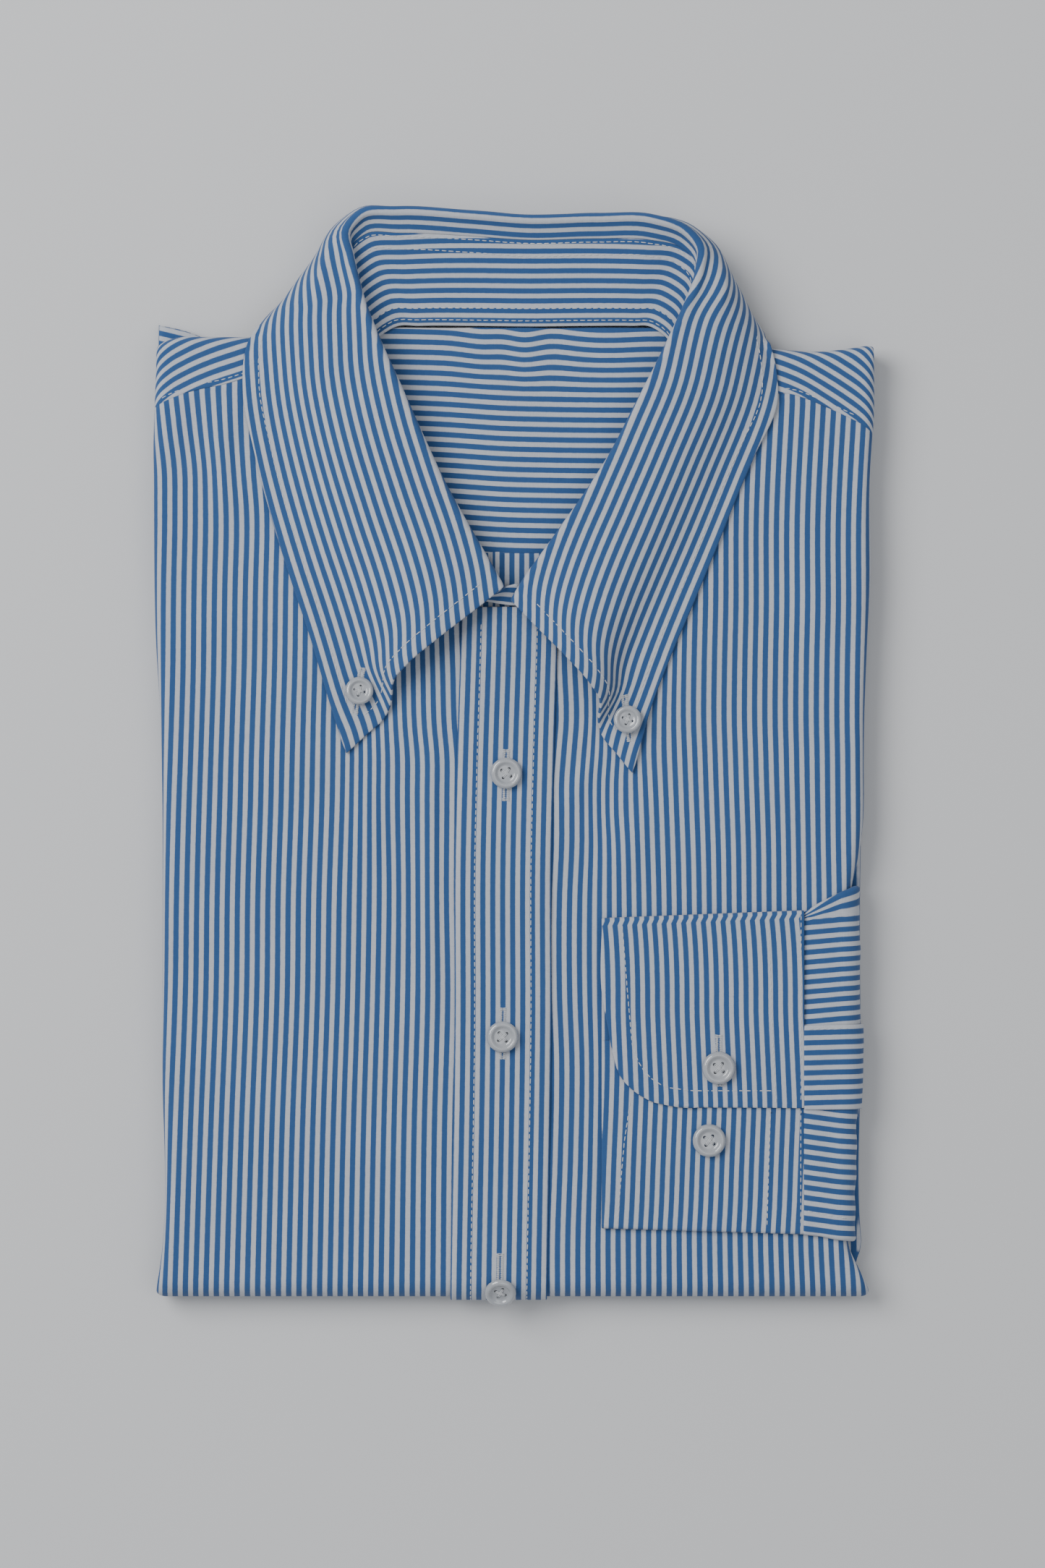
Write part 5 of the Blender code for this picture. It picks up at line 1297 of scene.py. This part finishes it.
def stitch_shape(length, thickness):
    """Points and faces of one stitch along x, dipping into the cloth at its ends."""
    stations = ((-1.0, 0.3), (-0.82, 0.8), (-0.4, 1.0), (0.4, 1.0), (0.82, 0.8), (1.0, 0.3))
    points, faces = [], []
    sides = 6
    for place, size in stations:
        for index in range(sides):
            angle = 2 * math.pi * index / sides
            points.append((place * length / 2, math.cos(angle) * size * thickness / 2,
                           math.sin(angle) * size * thickness / 2 - thickness * 0.42 * place ** 4))
    for ring in range(len(stations) - 1):
        for index in range(sides):
            after = (index + 1) % sides
            faces.append((ring * sides + index, ring * sides + after, (ring + 1) * sides + after,
                          (ring + 1) * sides + index))
    faces.append(tuple(range(sides))[::-1])
    faces.append(tuple((len(stations) - 1) * sides + index for index in range(sides)))
    return np.array(points), faces


def sewn(name, bars):
    """Joined stitches: each bar is its middle, its direction, the cloth's normal, length, thickness."""
    points, faces = [], []
    start = 0
    for middle, way, normal, length, thickness in bars:
        way = way / np.linalg.norm(way)
        side = np.cross(normal, way)
        side /= np.linalg.norm(side)
        upward = np.cross(way, side)
        shape, shape_faces = stitch_shape(length, thickness)
        points.append(middle + shape @ np.array((way, side, upward)))
        faces += [tuple(start + corner for corner in face) for face in shape_faces]
        start += len(shape)
    mesh = new_mesh(name, np.concatenate(points), faces)
    new_object(name, mesh, shared("Thread", thread_finish))


def row_bars(points, normals, lift=0.06, seed=1):
    """Bars of one row of stitches along a line on the cloth."""
    sewing = bpy.context.scene.shirt_sewing
    pitch, length, thickness = sewing.pitch / MM, sewing.stitch / MM, sewing.thread / MM
    reach = travel(points)
    pick = np.random.default_rng(seed)
    bars = []
    for place in np.arange(pitch / 2, reach[-1], pitch):
        place += pick.uniform(-0.06, 0.06)
        spot, ahead, behind = (np.array([np.interp(at, reach, points[:, axis]) for axis in range(3)])
                               for at in (place, place + 0.5, place - 0.5))
        normal = np.array([np.interp(place, reach, normals[:, axis]) for axis in range(3)])
        normal /= np.linalg.norm(normal)
        way = ahead - behind + np.array((pick.uniform(-0.05, 0.05), pick.uniform(-0.05, 0.05), 0.0))
        bars.append((spot + normal * lift, way, normal, length * pick.uniform(0.9, 1.08), thickness))
    return bars


def wall_line(name, rows, columns, upper=1.0):
    """Points and normals on a wall of cloth at fractional rows and columns of its grid."""
    outer, inner = cloth_walls[name]
    if upper < 0.0:
        outer, inner = inner, outer

    def sample(grid):
        """Points of one face between its grid's own."""
        low_rows = np.clip(np.floor(rows).astype(int), 0, grid.shape[0] - 2)
        low_columns = np.clip(np.floor(columns).astype(int), 0, grid.shape[1] - 2)
        part_rows, part_columns = (rows - low_rows)[:, None], (columns - low_columns)[:, None]
        high_columns = low_columns + 1
        before = (grid[low_rows, low_columns] * (1 - part_columns)
                  + grid[low_rows, high_columns] * part_columns)
        after = (grid[low_rows + 1, low_columns] * (1 - part_columns)
                 + grid[low_rows + 1, high_columns] * part_columns)
        return before * (1 - part_rows) + after * part_rows

    top, low = sample(outer), sample(inner)
    normals = top - low
    return top, normals / np.linalg.norm(normals, axis=1, keepdims=True)


def laid_line(places, name):
    """Points and normals on the nearest upper face of a wall of cloth, under places in plan."""
    outer, inner = cloth_walls[name]
    places = np.array(places, float)
    reach = travel(places)
    fine = np.arange(0.0, reach[-1], 0.8)
    plan = np.column_stack([np.interp(fine, reach, places[:, axis]) for axis in range(2)])
    tops = np.concatenate((outer.reshape(-1, 3), inner.reshape(-1, 3)))
    line = []
    for spot in plan:
        away = np.hypot(*(tops[:, :2] - spot).T)
        near = tops[away < 1.8]
        if len(near) == 0:
            near = tops[np.argsort(away)[:4]]
        level = near[:, 2].max()
        level = near[near[:, 2] > level - 0.5][:, 2].mean()
        line.append((spot[0], spot[1], level))
    line = np.array(line)
    return line, np.tile((0.0, 0.0, 1.0), (len(line), 1))


def build_stitches():
    """Rows of stitches on the placket, the yokes, the collar, the cuff and the sleeve."""
    outer, _ = cloth_walls["front_placket"]
    rows = np.arange(4.0, outer.shape[0] - 4.0, 0.7)
    bars = []
    for place in (PLACKET_ROW, PLACKET_WIDTH - PLACKET_ROW):
        column = np.full(len(rows), place / PLACKET_WIDTH * (outer.shape[1] - 1))
        bars += row_bars(*wall_line("front_placket", rows, column), seed=int(place))
    sewn("stitches_placket", bars)

    bars = []
    for table, start, end, name, seed in ((RIGHT_YOKE_SEAM, -127.5, -60.0, "outer_yoke_right", 3),
                                          (LEFT_YOKE_SEAM, 64.0, 127.0, "outer_yoke_left", 4)):
        x = np.arange(start, end, 3.0)
        places = np.column_stack((x, through(table, x) + 1.7))
        bars += row_bars(*laid_line(places, name), lift=0.0, seed=seed)
    sewn("stitches_yokes", bars)

    outer, inner = cloth_walls["collar_leaf"]
    upper = falling_outward(outer, inner)
    face = outer if upper > 0 else inner
    back = np.linalg.norm(np.diff(face[:, ::-1], axis=1), axis=2).cumsum(axis=1)
    columns = np.array([face.shape[1] - 1 - np.interp(LEAF_ROW, line, np.arange(1, len(line) + 1))
                        for line in back])
    rows = np.arange(face.shape[0], dtype=float)
    on_wing = face[:, -1, 1] < 152.0
    bars = []
    for kept in (on_wing & (rows < len(rows) / 2), on_wing & (rows > len(rows) / 2)):
        tip_left_out = slice(5, None) if rows[kept][0] < 1.0 else slice(None, -5)
        side_rows, side_columns = rows[kept][tip_left_out], columns[kept][tip_left_out]
        bars += row_bars(*wall_line("collar_leaf", side_rows, side_columns, upper), seed=12)
    for end in (0, -1):
        line = face if end == 0 else face[::-1]
        reach = np.linalg.norm(np.diff(line, axis=0), axis=2).cumsum(axis=0)
        across = np.arange(20.0, face.shape[1] - 6.0)
        found = np.array([np.interp(LEAF_ROW, reach[:, int(column)], np.arange(1, len(reach) + 1))
                          for column in across])
        found = found if end == 0 else len(face) - 1 - found
        bars += row_bars(*wall_line("collar_leaf", found, across, upper), seed=14)
    sewn("stitches_collar_leaf", bars)

    outer, inner = cloth_walls["collar_band"]
    rise = np.linalg.norm(np.diff(outer, axis=1), axis=2).cumsum(axis=1)
    rows = np.arange(10.0, outer.shape[0] - 1.0)
    bars = []
    facing = 1.0 if outer[len(outer) // 2, 8, 1] < inner[len(inner) // 2, 8, 1] else -1.0
    for distance, from_top, seed in ((1.0, False, 21), (6.3, False, 22), (5.6, True, 23),
                                     (0.9, True, 24)):
        columns = []
        for row in rows.astype(int):
            whole = rise[row][-1]
            target = whole - distance if from_top else distance
            columns.append(np.interp(target, rise[row], np.arange(1, rise.shape[1] + 1)))
        bars += row_bars(*wall_line("collar_band", rows, np.array(columns), facing), seed=seed)
    sewn("stitches_collar_band", bars)

    bars = []
    for places, seed in ((CUFF_FLAP_ROW, 31), (CUFF_INNER_ROW, 32), (CUFF_SEAM_ROW, 33),
                         (LOWER_LEFT_ROW, 34), (LOWER_INNER_ROW, 35), (LOWER_SEAM_ROW, 36)):
        bars += row_bars(*laid_line(places, "left_cuff"), lift=0.02, seed=seed)
    sewn("stitches_cuff", bars)

    bars = row_bars(*laid_line(SLEEVE_ROW, "left_sleeve"), seed=41)
    bars += row_bars(*laid_line(SLEEVE_PLACKET_ROW, "sleeve_placket"), seed=42)
    sewn("stitches_sleeve", bars)


def buttonhole_bars(line, normals):
    """Close stitches along both sides of a slit, longer at its ends."""
    reach = travel(line)
    bars = []
    pick = np.random.default_rng(9)
    for place in np.arange(0.0, reach[-1], 0.4):
        spot = np.array([np.interp(place, reach, line[:, axis]) for axis in range(3)])
        normal = np.array([np.interp(place, reach, normals[:, axis]) for axis in range(3)])
        way = line[-1] - line[0]
        side = np.cross(normal, way)
        side /= np.linalg.norm(side)
        length = 1.5 if min(place, reach[-1] - place) < 1.2 else 1.15
        for sign in (-1.0, 1.0):
            middle = spot + side * sign * 0.72 + normal * 0.12
            bars.append((middle, side + way * pick.uniform(-0.01, 0.01), normal, length, 0.34))
    return bars


def build_buttonholes():
    """Worked buttonholes under the buttons."""
    bars = []
    for name, holes in BUTTONHOLES.items():
        for from_x, from_y, to_x, to_y in holes:
            bars += buttonhole_bars(*laid_line(((from_x, from_y), (to_x, to_y)), name))
    for from_x, from_y, to_x, to_y in COLLAR_HOLES:
        bars += buttonhole_bars(*laid_line(((from_x, from_y), (to_x, to_y)), "collar_leaf"))
    outer, _ = cloth_walls["front_placket"]
    rows = np.linspace(10.0, 24.5, 22)
    middle = 17.6 / PLACKET_WIDTH
    columns = np.full(len(rows), middle * (outer.shape[1] - 1))
    bars += buttonhole_bars(*wall_line("front_placket", rows, columns))
    sewn("buttonholes", bars)


def button_mesh(name, width):
    """Turned button with a raised rim, a dished middle and four thread holes, in millimetres."""
    radius, height = width / 2, width * BUTTON_HEIGHT
    profile = ((0.0, 0.0), (0.74, 0.0), (0.86, 0.06), (0.95, 0.2), (1.0, 0.42), (0.99, 0.6),
               (0.95, 0.78), (0.89, 0.92), (0.82, 0.99), (0.76, 1.0), (0.7, 0.95), (0.64, 0.84),
               (0.59, 0.71), (0.54, 0.63), (0.47, 0.6), (0.3, 0.57), (0.0, 0.56))
    mesh = bpy.data.meshes.new(name)
    body = bmesh.new()
    line = [body.verts.new((radius * out * MM, 0.0, height * up * MM)) for out, up in profile]
    edges = [body.edges.new(pair) for pair in zip(line[:-1], line[1:])]
    bmesh.ops.spin(body, geom=line + edges, cent=(0.0, 0.0, 0.0), axis=(0.0, 0.0, 1.0),
                   angle=2 * math.pi, steps=56)
    bmesh.ops.remove_doubles(body, verts=body.verts, dist=0.00001)
    bmesh.ops.recalc_face_normals(body, faces=body.faces)
    body.to_mesh(mesh)
    body.free()
    piece = bpy.data.objects.new(name, mesh)
    cutter_mesh = bpy.data.meshes.new(name + "_holes")
    cutter = bmesh.new()
    spacing = width * HOLE_PLACE * MM
    for across, up in ((1, 1), (-1, 1), (-1, -1), (1, -1)):
        hole = bmesh.ops.create_cone(cutter, cap_ends=True, segments=18,
                                     radius1=width * HOLE_RADIUS * MM,
                                     radius2=width * HOLE_RADIUS * MM, depth=4 * height * MM)
        bmesh.ops.translate(cutter, verts=hole["verts"], vec=(across * spacing, up * spacing, 0.0))
    cutter.to_mesh(cutter_mesh)
    cutter.free()
    holes = bpy.data.objects.new(name + "_holes", cutter_mesh)
    for each in (piece, holes):
        bpy.context.scene.collection.objects.link(each)
    cut = piece.modifiers.new("holes", "BOOLEAN")
    cut.operation, cut.solver, cut.object = "DIFFERENCE", "EXACT", holes
    evaluated = piece.evaluated_get(bpy.context.evaluated_depsgraph_get())
    pierced = bpy.data.meshes.new_from_object(evaluated)
    for each in (piece, holes):
        bpy.data.objects.remove(each, do_unlink=True)
    pierced.shade_smooth()
    pierced.set_sharp_from_angle(angle=math.radians(50.0))
    return pierced


def build_buttons():
    """Front, collar and cuff buttons with the thread that holds them."""
    on_placket = GAP + CLOTH + GAP
    lean = math.radians(30.0)
    reach = BOTTOM_TURN + on_placket + GAP
    on_leaf = GAP + STIFF_CLOTH + GAP
    on_cuff = CLOTH / 2 + GAP
    rolled_y = BOTTOM_FOLD + BOTTOM_TURN - reach * math.sin(lean)
    rolled_z = FRONT_TOP - BOTTOM_TURN + reach * math.cos(lean)
    # Each row: name, width, place x y z, tilt round x and y, turn round its axis
    rows = (
        ("front_button_1", FRONT_BUTTON, -2.5, -5.9, FRONT_TOP + on_placket, 0.0, 0.0, 12.0),
        ("front_button_2", FRONT_BUTTON, -3.8, -101.3, FRONT_TOP + on_placket, 0.0, 0.0, -5.0),
        ("front_button_3", FRONT_BUTTON, -4.6, rolled_y, rolled_z, 30.0, 0.0, 20.0),
        ("collar_button_right", COLLAR_BUTTON, -55.7, 23.8, FRONT_TOP + on_leaf + 1.5, -6.0, 6.0, 30.0),
        ("collar_button_left", COLLAR_BUTTON, 41.5, 13.5, FRONT_TOP + on_leaf + 1.1, -4.0, -6.0, 25.0),
        ("cuff_button_1", CUFF_BUTTON, 74.3, -112.4, FRONT_TOP + UPPER_LEVEL + on_cuff, 0.0, 0.0, 6.0),
        ("cuff_button_2", CUFF_BUTTON, 70.9, -138.7, FRONT_TOP + MIDDLE_LEVEL + on_cuff, 0.0, 0.0, 10.0),
    )
    meshes = {width: button_mesh(f"button_{round(width)}", width)
              for width in (FRONT_BUTTON, COLLAR_BUTTON, CUFF_BUTTON)}
    bars = []
    for name, width, x, y, z, tilt_x, tilt_y, spin in rows:
        turn = (Matrix.Rotation(math.radians(tilt_y), 4, "Y")
                @ Matrix.Rotation(math.radians(tilt_x), 4, "X")
                @ Matrix.Rotation(math.radians(spin), 4, "Z"))
        mesh = meshes[width].copy()
        mesh.transform(Matrix.Translation(Vector((x, y, z)) * MM) @ turn)
        piece = new_object("pearl_" + name, mesh, shared("Button Pearl", pearl_finish))
        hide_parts(name)
        basis = np.array(turn.to_3x3())
        spacing = width * HOLE_PLACE
        middle = np.array((x, y, z)) + basis @ np.array((0.0, 0.0, width * BUTTON_HEIGHT * 0.66))
        for strand, (from_x, from_y, to_x, to_y) in enumerate(((1, 1, -1, -1), (-1, 1, 1, -1)) * 2):
            nudge = 0.16 if strand < 2 else -0.16
            way = basis @ np.array((to_x - from_x, to_y - from_y, 0.0), float)
            aside = basis @ np.array((from_y * nudge, -from_x * nudge, 0.03 * strand))
            bars.append((middle + aside, way, basis[:, 2], spacing * 3.0, 0.42))
    sewn("button_thread", bars)


def build_stage():
    """Floor, soft light from the upper left, and the camera straight above."""
    scene = bpy.context.scene
    stage = scene.shirt_stage
    corners = ((-4.0, -4.0, 0.0), (4.0, -4.0, 0.0), (4.0, 4.0, 0.0), (-4.0, 4.0, 0.0))
    mesh = bpy.data.meshes.new("floor")
    mesh.from_pydata(corners, [], [(0, 1, 2, 3)])
    mesh.materials.append(floor_finish())
    floor = bpy.data.objects.new("floor", mesh)
    scene.collection.objects.link(floor)
    floor.location.z = -0.0003

    def light(name, place, size, power):
        """Round soft light that faces the middle of the shirt."""
        lamp = bpy.data.lights.new(name, "AREA")
        lamp.shape = "DISK"
        lamp.size = size
        lamp.energy = power
        made = bpy.data.objects.new(name, lamp)
        made.location = place
        made.rotation_mode = "QUATERNION"
        made.rotation_quaternion = (-Vector(place)).to_track_quat("-Z", "Y")
        scene.collection.objects.link(made)
        return made

    key = light("key_light", (-1.05, 0.65, 1.45), 1.3, stage.key_power * 1.15)
    fill = light("fill_light", (0.7, -0.2, 2.3), 1.8, stage.key_power * 0.35)
    world = bpy.data.worlds.new("room")
    world.use_nodes = True
    background = world.node_tree.nodes["Background"]
    background.inputs["Color"].default_value = (0.95, 0.97, 1.0, 1.0)
    background.inputs["Strength"].default_value = stage.world_strength
    scene.world = world
    lens = bpy.data.cameras.new("camera")
    lens.sensor_width = SENSOR
    lens.lens = SENSOR * (stage.camera_height - FRAME_LEVEL) / stage.frame_height
    lens.clip_end = 20.0
    camera = bpy.data.objects.new("camera", lens)
    camera.location = (CAMERA_PLACE[0] * MM, CAMERA_PLACE[1] * MM, stage.camera_height)
    scene.collection.objects.link(camera)
    scene.camera = camera


def made_operator(identifier, label, words, build):
    """Operator class that runs one build function."""
    def execute(self, context):
        """Build these pieces."""
        build()
        return {"FINISHED"}

    return type("SHIRT_OT_" + identifier, (bpy.types.Operator,),
                {"bl_idname": "shirt." + identifier, "bl_label": label, "__doc__": words,
                 "bl_options": {"REGISTER", "UNDO"}, "execute": execute})


OPERATORS = (
    made_operator("layers", "Folded Layers", "Build the hidden layers of the folded shirt", build_layers),
    made_operator("inside", "Inside", "Build the inner yoke and the back's pleat", build_inside),
    made_operator("fronts", "Fronts", "Build the right and the left front", build_fronts),
    made_operator("yokes", "Yokes", "Build the outer yoke over each shoulder", build_yokes),
    made_operator("placket", "Placket", "Build the front placket", build_placket),
    made_operator("collar", "Collar", "Build the collar leaf and its stand", build_collar),
    made_operator("cuff", "Cuff", "Build the left cuff", build_cuff),
    made_operator("sleeve", "Sleeve", "Build the left sleeve and its placket", build_sleeve),
    made_operator("stitches", "Stitches", "Sew the rows of stitches", build_stitches),
    made_operator("buttonholes", "Buttonholes", "Sew the buttonholes", build_buttonholes),
    made_operator("buttons", "Buttons", "Build the buttons and their thread", build_buttons),
    made_operator("stage", "Stage", "Build the floor, the lights and the camera", build_stage),
)


class SHIRT_PT_panel(bpy.types.Panel):
    """Steps that build the shirt."""

    bl_idname = "SHIRT_PT_panel"
    bl_label = "Folded Dress Shirt"
    bl_space_type = "VIEW_3D"
    bl_region_type = "UI"
    bl_category = "Shirt"

    def draw(self, context):
        """Sizes and colours, then the steps."""
        for group in (context.scene.shirt_cloth, context.scene.shirt_sewing, context.scene.shirt_stage):
            for name in type(group).__annotations__:
                self.layout.prop(group, name)
        for operator in OPERATORS:
            self.layout.operator(operator.bl_idname)


GROUPS = {"shirt_cloth": ShirtCloth, "shirt_sewing": ShirtSewing, "shirt_stage": ShirtStage}


def register():
    """Register the groups, the operators and the panel."""
    for name, group in GROUPS.items():
        bpy.utils.register_class(group)
        setattr(bpy.types.Scene, name, PointerProperty(type=group))
    for operator in OPERATORS:
        bpy.utils.register_class(operator)
    bpy.utils.register_class(SHIRT_PT_panel)


def unregister():
    """Undo register."""
    bpy.utils.unregister_class(SHIRT_PT_panel)
    for operator in reversed(OPERATORS):
        bpy.utils.unregister_class(operator)
    for name, group in GROUPS.items():
        delattr(bpy.types.Scene, name)
        bpy.utils.unregister_class(group)


def main():
    """Build everything in order, and write down the size before and after."""
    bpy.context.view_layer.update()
    register()
    for operator in OPERATORS:
        getattr(bpy.ops.shirt, operator.bl_idname.split(".")[1])()


if __name__ == "__main__":
    main()
